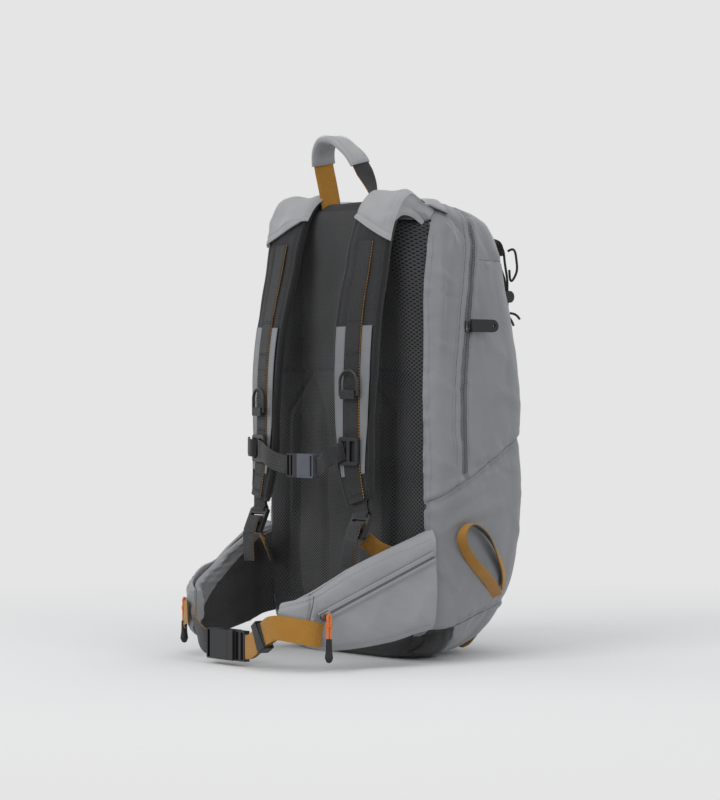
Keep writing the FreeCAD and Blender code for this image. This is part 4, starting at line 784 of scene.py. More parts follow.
def outlines(zs):
    """(len(zs), M, 2) outline points, from the front's middle round the right side."""
    y_back, y_front, w_back, w_front, r_back, r_front = [
        monotone_cubic(zs, SECTIONS[:, 0], SECTIONS[:, k]) for k in range(1, 7)]
    lean = np.arctan2(w_back - w_front, y_front - y_back)
    cos_l, sin_l = np.cos(lean), np.sin(lean)
    back_x, back_y = w_back - r_back, y_back + r_back
    front_x, front_y = w_front - r_front, y_front - r_front
    zero = zs * 0
    quarter = math.pi / 2 + zero
    points = []

    def straight(ax, ay, bx, by, count, bulge_x=0.0, bulge_y=0.0):
        """Bulges sideways at its middle, or in y at its start."""
        for i in range(count):
            t = i / float(count)
            points.append(np.stack([ax + (bx - ax) * t + bulge_x * 4 * t * (1 - t),
                                    ay + (by - ay) * t + bulge_y * (1 - t * t)], -1))

    def arc(x, y, radius, start, end, count):
        for i in range(count):
            a = start + (end - start) * i / float(count)
            points.append(np.stack([x + radius * np.cos(a), y + radius * np.sin(a)], -1))
    front, front_corner, side, back_corner, back = OUTLINE_COUNTS
    straight(zero, y_front, front_x, y_front, front, bulge_y=5.0)
    arc(front_x, front_y, r_front, quarter, lean, front_corner)
    straight(front_x + r_front * cos_l, front_y + r_front * sin_l,
             back_x + r_back * cos_l, back_y + r_back * sin_l, side, bulge_x=3.0)
    arc(back_x, back_y, r_back, lean, -quarter, back_corner)
    straight(back_x, y_back, zero, y_back, back)
    right = np.stack(points, 1)
    last = np.stack([zero, y_back], -1)[:, None, :]
    left = right[:, 1:][:, ::-1] * np.array([-1.0, 1.0])
    return np.concatenate([right, last, left], 1)


def bag_grid():
    """Rings of rest points from the base's middle to the top's middle, and the two middles."""
    step = 2.6
    dense = np.linspace(0, BAG_TOP, 2000)
    reach = outlines(dense)[:, :, 0].max(1)
    run = np.r_[0, np.cumsum(np.hypot(np.diff(reach), np.diff(dense)))]
    zs = np.interp(np.arange(0, run[-1], step), run, dense)
    zs = np.r_[zs[:-1] if BAG_TOP - zs[-1] < step * 0.6 else zs, BAG_TOP]
    rings = outlines(zs)
    heights = np.broadcast_to(zs[:, None, None], rings.shape[:2] + (1,))
    scales = [0.97, 0.93, 0.88, 0.82, 0.75, 0.67, 0.58, 0.48, 0.38, 0.28, 0.18, 0.09]

    def shrunk(ring, k, z):
        middle = vec(0.0, ring[:, 1].mean())
        return np.concatenate([middle + (ring - middle) * k, np.full((len(ring), 1), z)], -1)
    top = [shrunk(rings[-1], k, BAG_TOP + TOP_DOME * (1 - k ** 3)) for k in scales]
    base = [shrunk(rings[0], k, 0.0) for k in scales[::-1]]
    grid = np.concatenate([np.stack(base), np.concatenate([rings, heights], -1), np.stack(top)])
    return (grid, vec(0.0, rings[-1][:, 1].mean(), BAG_TOP + TOP_DOME),
            vec(0.0, rings[0][:, 1].mean(), 0.0))


def bag_surface():
    """Rest rows of x, y, z, nx, ny, nz, u, v, with faces and the girth in u."""
    grid, top, base = bag_grid()
    rows, cols = grid.shape[:2]
    du = np.roll(grid, -1, 1) - np.roll(grid, 1, 1)
    dv = np.empty_like(grid)
    dv[1:-1] = grid[2:] - grid[:-2]
    dv[0], dv[-1] = grid[1] - grid[0], grid[-1] - grid[-2]
    normal = unit(np.cross(du, dv))
    inside = np.array([0.0, 80.0, 240.0])
    if ((normal * (grid - inside)).sum(-1) > 0).mean() < 0.5:
        normal = -normal
    steps = np.linalg.norm(np.roll(grid, -1, 1) - grid, axis=-1)[rows // 2]
    u = np.r_[0, np.cumsum(steps)[:-1]]
    v = np.r_[0, np.cumsum(np.linalg.norm(np.diff(grid[:, cols // 4], axis=0), axis=1))]
    uv = np.stack(np.broadcast_arrays(u[None, :], v[:, None]), -1)
    table = np.concatenate([grid, normal, uv], -1).reshape(-1, 8)
    table = np.concatenate([table, np.r_[top, 0, 0, 1, 0, v[-1] + 8][None],
                            np.r_[base, 0, 0, -1, 0, v[0] - 8][None]])
    quads = grid_quads(rows, cols)
    probe = quads[len(quads) // 2]
    a, b, c = table[probe[:3], :3]
    turned = np.dot(np.cross(b - a, c - b), table[probe[0], 3:6]) < 0
    if turned:
        quads = quads[:, ::-1]
    faces = [tuple(f) for f in quads.tolist()]
    top_id, base_id = rows * cols, rows * cols + 1
    for k in range(cols):
        after = (k + 1) % cols
        for middle, i, j in ((top_id, (rows - 1) * cols + k, (rows - 1) * cols + after),
                             (base_id, after, k)):
            faces.append((middle, j, i) if turned else (middle, i, j))
    return table, faces, steps.sum()


# Each seam function is zero on its seam; points are x, y from the back plane, z.
def mesh_seam(p):
    over_top = np.minimum(p[:, 2] - 456.0, (np.abs(p[:, 0]) - 80.0) * 0.7)
    return np.maximum(p[:, 1] - mesh_y(p[:, 2]), over_top)


def zip_back(p):
    return p[:, 1] - zip_y(p[:, 2]) + ZIP_HALF


def zip_front(p):
    return p[:, 1] - zip_y(p[:, 2]) - ZIP_HALF


def slant_z(y):
    return 163.0 + 0.41 * y


def slant_seam(p):
    return p[:, 2] - slant_z(p[:, 1])


def base_seam(p):
    return p[:, 2] - np.where(p[:, 1] < 8.5, BASE_Z, BASE_Z + 0.2 * p[:, 1])


def boot_seam(p):
    return np.where(p[:, 2] < 60, p[:, 1] - BOOT_Y, 1.0)


def cut(table, faces, seam, girth):
    """Splits the faces along seam(points) = 0."""
    value = seam(table[:, :3])
    value = np.where(np.abs(value) < 1e-6, 1e-6, value)
    positive = value > 0
    new = []
    made = {}

    def crossing(a, b):
        key = (min(a, b), max(a, b))
        if key not in made:
            t = value[a] / (value[a] - value[b])
            p = table[a] * (1 - t) + table[b] * t
            ua, ub = table[a, 6], table[b, 6]
            if abs(ua - ub) > 200.0:    # the edge where u starts again
                if ua < ub:
                    ua += girth
                else:
                    ub += girth
                p[6] = ua * (1 - t) + ub * t
            new.append(p)
            made[key] = len(table) + len(new) - 1
        return made[key]
    out = []
    for f in faces:
        signs = [positive[i] for i in f]
        if all(signs) or not any(signs):
            out.append(f)
            continue
        above, below = [], []
        for i in range(len(f)):
            j = (i + 1) % len(f)
            (above if signs[i] else below).append(f[i])
            if signs[i] != signs[j]:
                p = crossing(f[i], f[j])
                above.append(p)
                below.append(p)
        out.extend(tuple(part) for part in (above, below) if len(part) > 2)
    return (np.concatenate([table, np.array(new)]) if new else table), out


REST, FACES, GIRTH = bag_surface()
for seam in (mesh_seam, slant_seam, base_seam, zip_back, zip_front, boot_seam):
    REST, FACES = cut(REST, FACES, seam, GIRTH)

# ---------------------------------------------------------------- the bag's cloth relief
ripple_low = waves(3, 9, 90, 190)
ripple_mid = waves(5, 14, 30, 70, flat=(1, 1, 0.5))
ripple_small = waves(8, 18, 10, 24)
ripple_mesh = waves(11, 10, 40, 90)
pucker = waves(91, 9, 9, 19)

# folds on the sides: start (y, z), end (y, z), width, height
FOLDS = [
    ((40, 440), (24, 300), 5.0, 1.6), ((60, 196), (90, 214), 5.0, 1.3),
    ((14, 178), (70, 192), 5.0, 1.5), ((30, 152), (96, 176), 4.5, -1.4),
    ((22, 136), (60, 150), 5.0, 1.3), ((128, 150), (165, 172), 5.0, 1.2),
    ((105, 240), (160, 200), 8.0, -1.4), ((110, 280), (165, 262), 8.0, 1.2),
    ((44, 400), (60, 455), 5.0, 1.5), ((100, 445), (140, 400), 6.0, -1.3),
    ((34, 432), (26, 330), 7.0, 1.8), ((50, 420), (40, 340), 6.0, -1.3),
    ((75, 150), (120, 168), 6.0, 1.8), ((60, 140), (118, 150), 5.0, -1.4),
    ((20, 165), (60, 178), 7.0, 1.4), ((95, 200), (150, 214), 7.0, -1.2),
    ((100, 330), (150, 300), 9.0, 1.2), ((88, 400), (100, 300), 6.0, -1.0),
    ((110, 430), (150, 418), 7.0, 1.2), ((30, 60), (60, 96), 6.0, 1.0),
    ((125, 60), (96, 40), 7.0, 1.2), ((16, 120), (50, 128), 7.0, -1.2),
    ((20, 290), (52, 268), 6.0, 1.1), ((34, 466), (62, 428), 4.5, 2.0),
    ((46, 470), (76, 440), 4.0, -1.6), ((24, 404), (56, 388), 4.0, 1.5),
    ((26, 384), (58, 372), 4.0, -1.2), ((18, 330), (50, 318), 4.0, 1.1),
    ((60, 200), (100, 206), 3.5, -1.6), ((66, 186), (118, 196), 3.5, 1.4),
    ((16, 96), (48, 70), 5.0, 1.7), ((20, 116), (52, 88), 4.5, -1.5),
    ((34, 132), (66, 96), 5.0, 1.5), ((14, 210), (44, 196), 4.0, 1.3),
    ((108, 196), (150, 188), 4.0, -1.2), ((20, 240), (48, 214), 6.0, 1.2),
    ((140, 150), (165, 120), 7.0, 1.3)]
# quilting grooves of the back panel: start and end as (|x|, z)
QUILTING = [((0, 300), (96, 300)), ((50, 297), (88, 256)), ((50, 297), (26, 256)),
            ((88, 256), (92, 60)), ((26, 256), (24, 60)), ((24, 60), (92, 60))]


def seam_distances(p):
    """Distance to the nearest panel seam, and to the nearest edge of the zip tape."""
    far = 99.0
    mesh, slant, base = mesh_seam(p), slant_seam(p), base_seam(p)
    low = (base < 0.5) & (p[:, 2] < 60)
    panel = np.minimum.reduce([
        np.where(base > -0.5, np.abs(mesh), far),
        np.where(mesh > -0.5, np.abs(slant) / 1.08, far),
        np.abs(base),
        np.where(low, np.abs(p[:, 1] - BOOT_Y), far)])
    tape = np.minimum(np.abs(zip_back(p)), np.abs(zip_front(p)))
    return panel, np.where(slant > -0.5, tape, far)


def segment_distance(q, a, b):
    """Distance of 2D points to a segment, and the nearest place along it, 0..1."""
    a, b = np.array(a, float), np.array(b, float)
    d = b - a
    t = np.clip(((q - a) @ d) / (d @ d), 0, 1)
    return np.hypot(*(q - (a + d * t[:, None])).T), t


def side_folds(p, normal):
    total = 0.0
    on_side_wall = np.clip(np.abs(normal[:, 0]) * 1.4, 0, 1)
    for start, end, width, height in FOLDS:
        distance, t = segment_distance(p[:, 1:3], start, end)
        ends = np.sin(np.pi * np.clip(t, 0.02, 0.98)) ** 0.6
        total = total + 1.35 * height * bell(distance, width * 0.9) * ends * on_side_wall
    return total


def back_quilting(p):
    x, z = np.abs(p[:, 0]), p[:, 2]
    q = np.stack([x, z], -1)
    groove = np.minimum.reduce([segment_distance(q, a, b)[0] for a, b in QUILTING])
    pad = np.clip((x - 24) / 12.0, 0, 1) * np.clip((94 - x) / 14.0, 0, 1)
    pad = pad * np.clip((z - 56) / 16.0, 0, 1) * np.clip((266 - z) / 16.0, 0, 1)
    return -1.6 * bell(groove, 2.2) + 2.4 * smooth_step(pad)


def displaced(rest):
    """The rest form with puffed panels, drawn-in seams and soft folds."""
    p, normal = rest[:, :3], rest[:, 3:6]
    z = p[:, 2]
    seam, tape = seam_distances(p)
    slant = slant_seam(p)
    above = slant > 0
    cloth = mesh_seam(p) >= 0
    rise = np.where(cloth, 0.9 * ripple_low(p) + 0.45 * ripple_mid(p) + 0.12 * ripple_small(p),
                    0.5 * ripple_mesh(p))
    rise = rise * np.clip((z - 3) / 25.0, 0.05, 1.0)
    rise += 1.6 * (1 - bell(seam, 14.0)) * np.clip(z / 20.0, 0, 1)
    # cloth gathered by its seams
    rise += cloth * (0.62 * pucker(p) * bell(seam, 8.0) + 0.34 * pucker(p * 0.8) * bell(tape, 7.0))
    # the upper cloth laps over the lower one at the slanted seam
    rise += (cloth & (z > 60)) * (1.5 * bell(slant - 3.5, 3.2) - 1.1 * bell(slant + 3.5, 4.0))
    rise -= 1.5 * bell(seam, 2.0)
    rise -= cloth * 0.9 * bell(tape, 1.2)
    # flap lines beside the zip, and the tape sunk between them
    from_zip = p[:, 1] - zip_y(z)
    rise += (above & cloth) * (0.8 * bell(from_zip + 8.5, 3.2) - 0.9 * bell(from_zip + 13.0, 1.0)
                               + 0.7 * bell(from_zip - 7.5, 2.6))
    rise -= 0.5 * ((np.abs(from_zip) < ZIP_HALF) & above)
    rise += cloth * side_folds(p, normal)
    # seam across the front near the top
    front = (normal[:, 1] > 0.3) & above & cloth
    rise += front * (-1.2 * bell(z - CROSS_SEAM_Z, 1.5) + 0.9 * bell(z - 409.0, 6.0))
    rise += (normal[:, 1] < -0.5) * back_quilting(p)
    # the lowest cloth stays flat, so the bag stands on its rest area
    low = np.clip((z - 0.5) / 6.0, 0, 1)
    points = p + normal * (rise * low)[:, None]
    points[:, 2] = np.maximum(points[:, 2], 0.0)
    points[:, 1] += BACK_Y
    return points


POINTS = displaced(REST)
BVH = BVHTree.FromPolygons([Vector(v) for v in POINTS.tolist()], FACES)


def hit(origin, direction):
    """The bag's surface point on a ray and its normal, or None."""
    point, normal = BVH.ray_cast(Vector(origin), Vector(direction))[:2]
    if point is None:
        return None
    normal = np.array(normal)
    if normal @ np.array(direction) > 0:
        normal = -normal
    return np.array(point), normal


def on_side(y, z, side, off):
    """A point on the bag's side (y from the back plane) and its normal."""
    found = hit((side * 300.0, y + BACK_Y, z), (-side, 0, 0))
    if found is None:
        found = (np.array([side * 90.0, y + BACK_Y, z]), vec(side, 0, 0))
    return found[0] + found[1] * off, found[1]


def on_front(x, z, off):
    point, normal = hit((x, 400.0, z), (0, -1, 0))
    return point + normal * off, normal


def on_top(x, y, off):
    point, normal = hit((x, y + BACK_Y, 700.0), (0, 0, -1))
    return point + normal * off, normal


def split_pairs(pairs):
    """(point, normal) pairs as an array of points and one of normals."""
    return np.array([a for a, _ in pairs]), np.array([b for _, b in pairs])


def line_on_side(points, side, off, step=3.0):
    """A (y, z) line laid on the bag's side."""
    points = np.asarray(points, float)
    length = np.linalg.norm(np.diff(points, axis=0), axis=1).sum()
    rows = resample(points, max(int(length / step), 3))
    return split_pairs([on_side(y, z, side, off) for y, z in rows])


# ---------------------------------------------------------------- the bag's panels
# panel: materials and slot
PANELS = {
    "base_boot": ([BOOT, THREAD_BLACK], "boot_fabric"),
    "base_panel": ([SHELL, THREAD_GREY, SEAM_SHADE_PAINT], "shell_fabric"),
    "back_mesh_panel": ([AIR_MESH, THREAD_BLACK, OPEN_MESH], "air_mesh"),
    "lower_wrap_panel": ([SHELL, THREAD_GREY, SEAM_SHADE_PAINT], "shell_fabric"),
    "gusset_panel": ([SHELL, THREAD_GREY, SEAM_SHADE_PAINT], "shell_fabric"),
    "main_zipper_tape": ([ZIP_TAPE, ZIP_TEETH, THREAD_GREY, SEAM_SHADE_PAINT], "zip_tape"),
    "front_panel": ([SHELL, THREAD_GREY, SEAM_SHADE_PAINT], "shell_fabric"),
}
PANEL_THREAD = dict(pitch=3.4, length=2.2, radius=0.30, lift=0.15)
SEAM_SHADE_LINE = dict(pitch=1.7, length=1.9, lift=0.0)    # stitches so close that they read as one dark line of painted seam shadow


def split_panels():
    middle = np.array([REST[list(f), :3].mean(0) for f in FACES])
    low = base_seam(middle) < 0
    region = np.select(
        [low & (middle[:, 1] < BOOT_Y), low, mesh_seam(middle) < 0, slant_seam(middle) < 0,
         zip_back(middle) < 0, zip_front(middle) < 0],
        ["base_boot", "base_panel", "back_mesh_panel", "lower_wrap_panel", "gusset_panel",
         "main_zipper_tape"], default="front_panel")
    soups = {}
    for name in PANELS:
        ids = np.flatnonzero(region == name)
        used = sorted({v for i in ids for v in FACES[i]})
        new_id = {v: k for k, v in enumerate(used)}
        faces = [tuple(new_id[v] for v in FACES[i]) for i in ids]
        mats = 0
        if name == "back_mesh_panel":    # the open mesh lies along the panel's margins
            mats = [2 if abs(middle[i][0]) > 66 or middle[i][1] > 6 else 0 for i in ids]
        soups[name] = Soup()
        soups[name].add(POINTS[used], faces, mats, REST[used][:, 6:8], wrap=GIRTH)
    return soups


SOUPS = split_panels()


def sew_side(panel, points, side, rows=slice(None)):
    line, normals = line_on_side(points, side, off=0.05)
    stitches(SOUPS[panel], line[rows], normals[rows], 1, **PANEL_THREAD)


# painted seam shadow: one dark line along a (y, z) line on the bag's side
def seam_shade_on_side(panel, points, side, radius):
    line, normals = line_on_side(points, side, off=0.0, step=2.0)
    stitches(SOUPS[panel], line, normals, 2, radius=radius, **SEAM_SHADE_LINE)


def zip_line(offset, low, high=456):
    """A (y, z) line beside the main zip."""
    return [(zip_y(z) + offset, z) for z in np.linspace(low, high, 60)]


def add_panel_stitching():
    margin = 4.5                # from a seam to the stitches beside it
    for side in (1, -1):
        sew_side("gusset_panel", zip_line(-17.0, 212), side)
        sew_side("gusset_panel", zip_line(-6.3, 212), side)
        sew_side("front_panel", zip_line(6.3, 212), side)
        sew_side("lower_wrap_panel",
                 [(y, slant_z(y) - margin) for y in np.linspace(14, 150, 30)], side)
        mesh_edge = [(mesh_y(z) + margin, z) for z in np.linspace(30, 440, 80)]
        sew_side("lower_wrap_panel", mesh_edge, side, slice(26))
        sew_side("gusset_panel", mesh_edge, side, slice(26, None))
        sew_side("lower_wrap_panel",
                 [(y, BASE_Z + 0.2 * y + margin) for y in np.linspace(52, 130, 20)], side)
    for z in (413.0, 419.5):
        line = split_pairs([on_front(x, z, 0.05) for x in np.linspace(-92, 92, 60)])
        stitches(SOUPS["front_panel"], *line, 1, **PANEL_THREAD)


# painted seam shadow along the slanted, base and front cross seams and beside the main zip
def add_seam_shade_lines():
    for side in (1, -1):
        seam_shade_on_side("gusset_panel", [(y, slant_z(y)) for y in np.linspace(6, 158, 40)], side, 0.5)
        seam_shade_on_side("lower_wrap_panel",
                  [(y, BASE_Z + 0.2 * y) for y in np.linspace(50, 134, 20)], side, 0.5)
        seam_shade_on_side("gusset_panel", zip_line(-4.3, 194), side, 0.42)
        seam_shade_on_side("gusset_panel", zip_line(-12.8, 200), side, 0.26)
        seam_shade_on_side("front_panel", zip_line(4.3, 196), side, 0.42)
        seam_shade_on_side("front_panel", [(y, CROSS_SEAM_Z) for y in np.linspace(95, 140, 20)], side, 0.34)
    line = split_pairs([on_front(x, CROSS_SEAM_Z, 0.0) for x in np.linspace(-96, 96, 90)])
    stitches(SOUPS["front_panel"], *line, 2, radius=0.34, **SEAM_SHADE_LINE)


def add_main_zip():
    """The teeth run up the right side, over the top and down the left."""
    lift = 0.3
    soup = SOUPS["main_zipper_tape"]
    rise = [(zip_y(z), z) for z in np.linspace(193, 452, 110)]
    right, right_n = line_on_side(rise, 1, lift)
    left, left_n = line_on_side(rise, -1, lift)
    top, top_n = split_pairs([on_top(x, 89.0, lift) for x in np.linspace(92, -92, 60)])
    points = np.concatenate([right, top, left[::-1]])
    normals = np.concatenate([right_n, top_n, left_n[::-1]])
    keep = np.r_[True, np.linalg.norm(np.diff(points, axis=0), axis=1) > 0.3]
    centre, _, across, normal = zip_teeth(soup, points[keep], normals[keep], pitch=1.9,
                                          offset=0.55, size=(1.1, 1.9, 0.9), mat=1)
    for off in (3.0, -3.0):
        stitches(soup, centre + across * off, normal, 2, pitch=3.0, length=2.0,
                 radius=0.25, lift=0.1)


add_panel_stitching()
add_seam_shade_lines()
add_main_zip()
for name, (materials, slot) in PANELS.items():
    place(SOUPS[name], name, materials, angle=60.0)

# ---------------------------------------------------------------- shoulder straps
STRAP_X = 74.5
STRAP_TURN = math.radians(10.0)
STRAP_FOAM = 11.0               # the strap's thickness
CAD_STATIONS = 41.0             # strap places are given as station numbers 0..41
WEB_LIFT = STRAP_FOAM / 2 + 1.75   # the outer face of the strap's centre webbing
turned = vec(math.cos(STRAP_TURN), math.sin(STRAP_TURN), 0)
STRAP = make_track(
    from_back((80, 62, 479), (77.5, 50, 481.2), (75.5, 36, 481.8), (74, 18, 482.3),
              (73, 2, 476), (72.5, -9, 461.5), (71.5, -16, 444), (71, -24.5, 405),
              (71.5, -33.5, 365), (STRAP_X - 1, -39.5, 325), (STRAP_X, -42, 285),
              (STRAP_X, -42.5, 240), (STRAP_X + 2, -43, 205), (STRAP_X + 6.5, -43, 178),
              (STRAP_X + 10, -43, 165)),
    [vec(1, 0, 0), vec(1, 0, 0), vec(1, 0.1, 0), turned, turned, turned, turned], 206)
STRAP_OUT = 1.0 if STRAP.normal[150][1] < 0 else -1.0
# the right ladder lock: its middle, the direction up its face and its outward direction
LOCK = vec(86.37, -127.4, 140.0)
LOCK_UP = vec(0, 0.4067, 0.9135)
LOCK_OUT = vec(0, -0.9135, 0.4067)


def at_lock(up, out):
    return LOCK + LOCK_UP * up + LOCK_OUT * out


def strap_part(track, start, end):
    """The stretch between two CAD station numbers."""
    i, j = [int(round(k / CAD_STATIONS * (track.count - 1))) for k in (start, end)]
    return track.part(i, j + 1)


def shoulder_strap(tag, side, track):
    pad = strap_part(track, 5.6, CAD_STATIONS)
    f = pad.fractions()
    width = [60, 60, 60, 60, 60, 50, 50, 36]
    ring, tags = pad_ring(pad.count, width, STRAP_FOAM - 2.0, STRAP_OUT,
                          puff=0.8, edge=3.5, cols=20)
    # channels beside the centre webbing, and a sewn edge
    half = spread(width, f) / 2
    from_middle = np.abs(ring[:, :, 0])
    from_edge = half[:, None] - 5.5 - from_middle
    outer = np.array(tags) == 0
    ring[:, :, 1] -= STRAP_OUT * outer * (1.4 * bell(from_edge, 1.3)
                                          + 0.5 * bell(from_middle - 10.5, 1.2))
    ring[:, :, 1] += 0.28 * waves(21 + side, 8, 24, 60)(pad.across_at(ring[:, :, 0]))
    # both ends thin out, and the top one narrows
    ring[:, :, 1] *= 0.55 + 0.45 * np.sqrt(np.clip((1 - f) / 0.03, 0, 1))[:, None]
    ring[:, :, 1] *= 0.45 + 0.55 * np.sqrt(np.clip(f / 0.05, 0, 1))[:, None]
    ring[:, :, 0] *= 0.90 + 0.10 * np.clip(f / 0.06, 0, 1)[:, None]
    soup = Soup()
    sweep(soup, pad, ring, tags, cap_mat=1)
    for edge in (-1, 1):
        stitches(soup, pad.line(edge * (half - 5.4), STRAP_OUT * (STRAP_FOAM / 2 - 1.5)),
                 pad.normal * STRAP_OUT, 3, pitch=3.6, length=2.4, radius=0.34, lift=0.3)
    # the two-ply tab that holds the ladder lock
    for ply in (1, -1):
        points = [vec(83.3, -123.0 - 2.0 * ply, 176), vec(84.8, -123.0 - 1.6 * ply, 166),
                  vec(85.8, -122.6 - 1.2 * ply, 158), at_lock(14.4, 2.6 * ply),
                  at_lock(11.2, 3.3 * ply), at_lock(9.0, 1.2 * ply)]
        tab = make_track(points, [vec(1, 0.1, 0), vec(1, 0, 0)], 36).on(side)
        webbing(soup, tab, 20.5, 1.4, 1.0, mats=(4, 4, 4), wobble=0.1, seed=5)
    for k in range(3):
        tack(soup, vec(84.6 * side, -126.2, 168.5 - 2.0 * k), vec(1, 0, 0), 8.5, vec(0, -1, 0), 3,
             pitch=2.0, length=1.7, radius=0.4, lift=0.3)
    place(soup, "shoulder_strap_" + tag,
          [STRAP_CLOTH, BINDING, AIR_MESH, THREAD_BLACK, WEB_BLACK])


def strap_webbing(tag, side, track):
    band = strap_part(track, 12, CAD_STATIONS)
    normals = band.normal * STRAP_OUT
    soup = Soup()
    webbing(soup, band, 20.0, 1.5, STRAP_OUT, off=STRAP_OUT * (STRAP_FOAM / 2 + 0.95),
            wobble=0.15, seed=4)
    for edge in (-1, 1):
        stitches(soup, band.line(edge * 8.6, STRAP_OUT * WEB_LIFT), normals, 3,
                 pitch=3.4, length=2.3, radius=0.34)
    # mustard thread along one edge
    stitches(soup, band.line(side * 10.35, STRAP_OUT * (STRAP_FOAM / 2 + 0.95)), normals, 4,
             pitch=3.0, length=1.6, radius=0.55, lift=0.2)
    # bar tacks that make the daisy-chain cells
    for z in (350.0, 316.0, 294.0 if side > 0 else 300.0, 236.0, 188.0, 172.0):
        k = int(np.argmin(np.abs(band.point[:, 2] - z)))
        for shift in (-0.8, 0.8):
            centre = band.point[k] + normals[k] * WEB_LIFT + band.along[k] * shift
            tack(soup, centre, band.across[k], 8.5, normals[k], 3,
                 pitch=1.7, length=1.5, radius=0.4, lift=0.3)
    place(soup, "strap_webbing_" + tag,
          [WEB_BLACK, EDGE_BLACK, WEB_MUSTARD, THREAD_BLACK, THREAD_MUSTARD])


def reflective_strips(tag, track):
    strip = strap_part(track, 21.6, 38)
    widths = [13.0, 12.6, 10.4, 4.6]
    width = spread(widths, strip.fractions())
    sewn = int(strip.count * 0.8)
    soup = Soup()
    for edge in (-1, 1):
        middle = edge * (11.2 + width / 2)
        ring, _ = band_ring(strip.count, widths, 0.6, cols=4)
        ring[:, :, 1] = (ring[:, :, 1] + STRAP_FOAM / 2 + 0.45) * STRAP_OUT
        ring[:, :, 0] += middle[:, None]
        sweep(soup, strip, ring, 0)
        for e in (-1, 1):
            line = strip.line(middle + e * (width / 2 - 1.1), STRAP_OUT * (STRAP_FOAM / 2 + 0.7))
            stitches(soup, line[:sewn], strip.normal[:sewn] * STRAP_OUT, 1,
                     pitch=3.2, length=2.2, radius=0.26, lift=0.15)
    place(soup, "reflective_strips_" + tag, [REFLECTIVE, THREAD_GREY])


def yoke_sheet(side, track, u, f):
    """The sleeve over the strap's top, its lower edge cut on a slant. Points and normals."""
    station = f[:, None] * (9.3 + 2.6 * (u * 0.5 + 0.5))
    k = station / CAD_STATIONS * (track.count - 1)
    outward = unit(sample(track.normal, k)) * STRAP_OUT
    share = station / 11.0
    edge = np.clip((np.abs(u) - 0.80) / 0.20, 0, 1)
    wrapped = np.clip((share - 0.22) / 0.2, 0, 1)
    rise = [-0.2, 0.05, 0.5] + [1] * 9
    lift = (STRAP_FOAM / 2 + 1.5) * spread(rise, share) + 1.3
    lift = lift - 5.5 * edge ** 1.6 * wrapped - 0.6 * (1 - wrapped) * edge
    half = 33.0 - 2.0 * np.clip(1 - share * 2, 0, 1)
    sheet = (sample(track.point, k) + unit(sample(track.across, k)) * (u * half)[..., None]
             + outward * lift[..., None])
    # its upper part settles on the bag's top
    drape = smooth_step(np.clip((6.2 - station) / 2.6, 0, 1))
    for i, j in zip(*np.nonzero(drape > 0)):
        x, y, z = sheet[i, j]
        top = BVH.ray_cast(Vector((x, y, 700.0)), Vector((0, 0, -1)))[0]
        lowest = z - 16.0
        target = lowest if top is None else max(top[2] + 2.1, lowest)
        if target < z or station[i, j] < 3.0:
            sheet[i, j, 2] += (target - z) * drape[i, j]
    height = sheet[..., 2]
    for _ in range(3):
        height[1:-1, 1:-1] = height[1:-1, 1:-1] * 0.5 + 0.125 * (
            height[2:, 1:-1] + height[:-2, 1:-1] + height[1:-1, 2:] + height[1:-1, :-2])
    normals = sheet_normals(sheet, outward)
    ripple = waves(31 + side, 10, 22, 55)
    x, z = sheet[..., 0], sheet[..., 2]
    crease = np.sin(z * 0.22 + x * 0.06 + 1.3 * ripple(sheet * 0.5)) * bell(z - 462, 16.0)
    wrinkle = (0.6 if side > 0 else 1.1) * ripple(sheet) + 0.8 * crease
    wrinkle *= (np.clip(f * 8, 0, 1) * np.clip((1 - f) * 10, 0.15, 1))[:, None]
    hem = np.exp(-((1 - f[:, None]) * 78 - 5.0) ** 2 / 2.0) * 0.7
    sheet += normals * (wrinkle - hem)[..., None]
    return sheet, normals


def yoke_web(side, sheet, normals):
    """The cloth from the yoke's outer edge down to the bag's side. Points and normals."""
    rows, cols = 30, 16
    k = np.linspace(22.0, 60.0, rows)
    edge = sample(sheet[:, -1], k) - sample(normals[:, -1], k) * 0.6
    t = np.linspace(0, 1, rows)
    q = np.linspace(0, 1, cols)[None, :, None]
    foot = np.array([on_side(44.0 - 22.0 * a, 470.0 - 20.0 * a, side, 0.9)[0] for a in t])
    t = t[:, None, None]
    web = (edge[:, None] * (1 - q) + foot[:, None] * q
           + vec(0, -1.0, 9.0) * (4 * q * (1 - q) * t ** 1.5 * (1 - 0.35 * q))
           + vec(0, 0, 1) * ((1 - t) * 1.6 * np.sin(np.pi * q)))
    web_normals = sheet_normals(web, vec(0.4 * side, -0.3, 0.85))
    # abs keeps the root real where the sine rounds to just below zero
    ripple = 0.7 * waves(37 + side, 9, 12, 30)(web) * np.abs(np.sin(np.pi * q[..., 0])) ** 0.5
    return web + web_normals * ripple[..., None], web_normals


def yoke_cover(tag, side, track):
    rows, cols = 76, 34
    hem_thread = dict(pitch=3.2, length=2.2, radius=0.3, lift=0.15)
    u = np.linspace(-1, 1, cols)
    f = np.linspace(0, 1, rows)
    sheet, normals = yoke_sheet(side, track, u, f)
    soup = Soup()
    two_ply(soup, sheet, normals, 1.7, u * 33, f * 78, probe=600, rim_start=2)
    web, web_normals = yoke_web(side, sheet, normals)
    two_ply(soup, web, web_normals, 1.5, np.linspace(0, 40, web.shape[1]),
            np.linspace(0, 50, web.shape[0]), probe=100)
    stitches(soup, web[-3], web_normals[-3], 1, **hem_thread)
    for r in (rows - 3, rows - 7):
        stitches(soup, sheet[r, 1:-1], normals[r, 1:-1], 1, **hem_thread)
    for c in (4, cols - 5):
        stitches(soup, sheet[4:rows - 3, c], normals[4:rows - 3, c], 1, **hem_thread)
    place(soup, "yoke_cover_" + tag, [YOKE_TOPLIT_FABRIC, THREAD_LIGHT])


for tag, side in SIDES:
    strap_track = STRAP.on(side)
    shoulder_strap(tag, side, strap_track)
    strap_webbing(tag, side, strap_track)
    reflective_strips(tag, strap_track)
    yoke_cover(tag, side, strap_track)

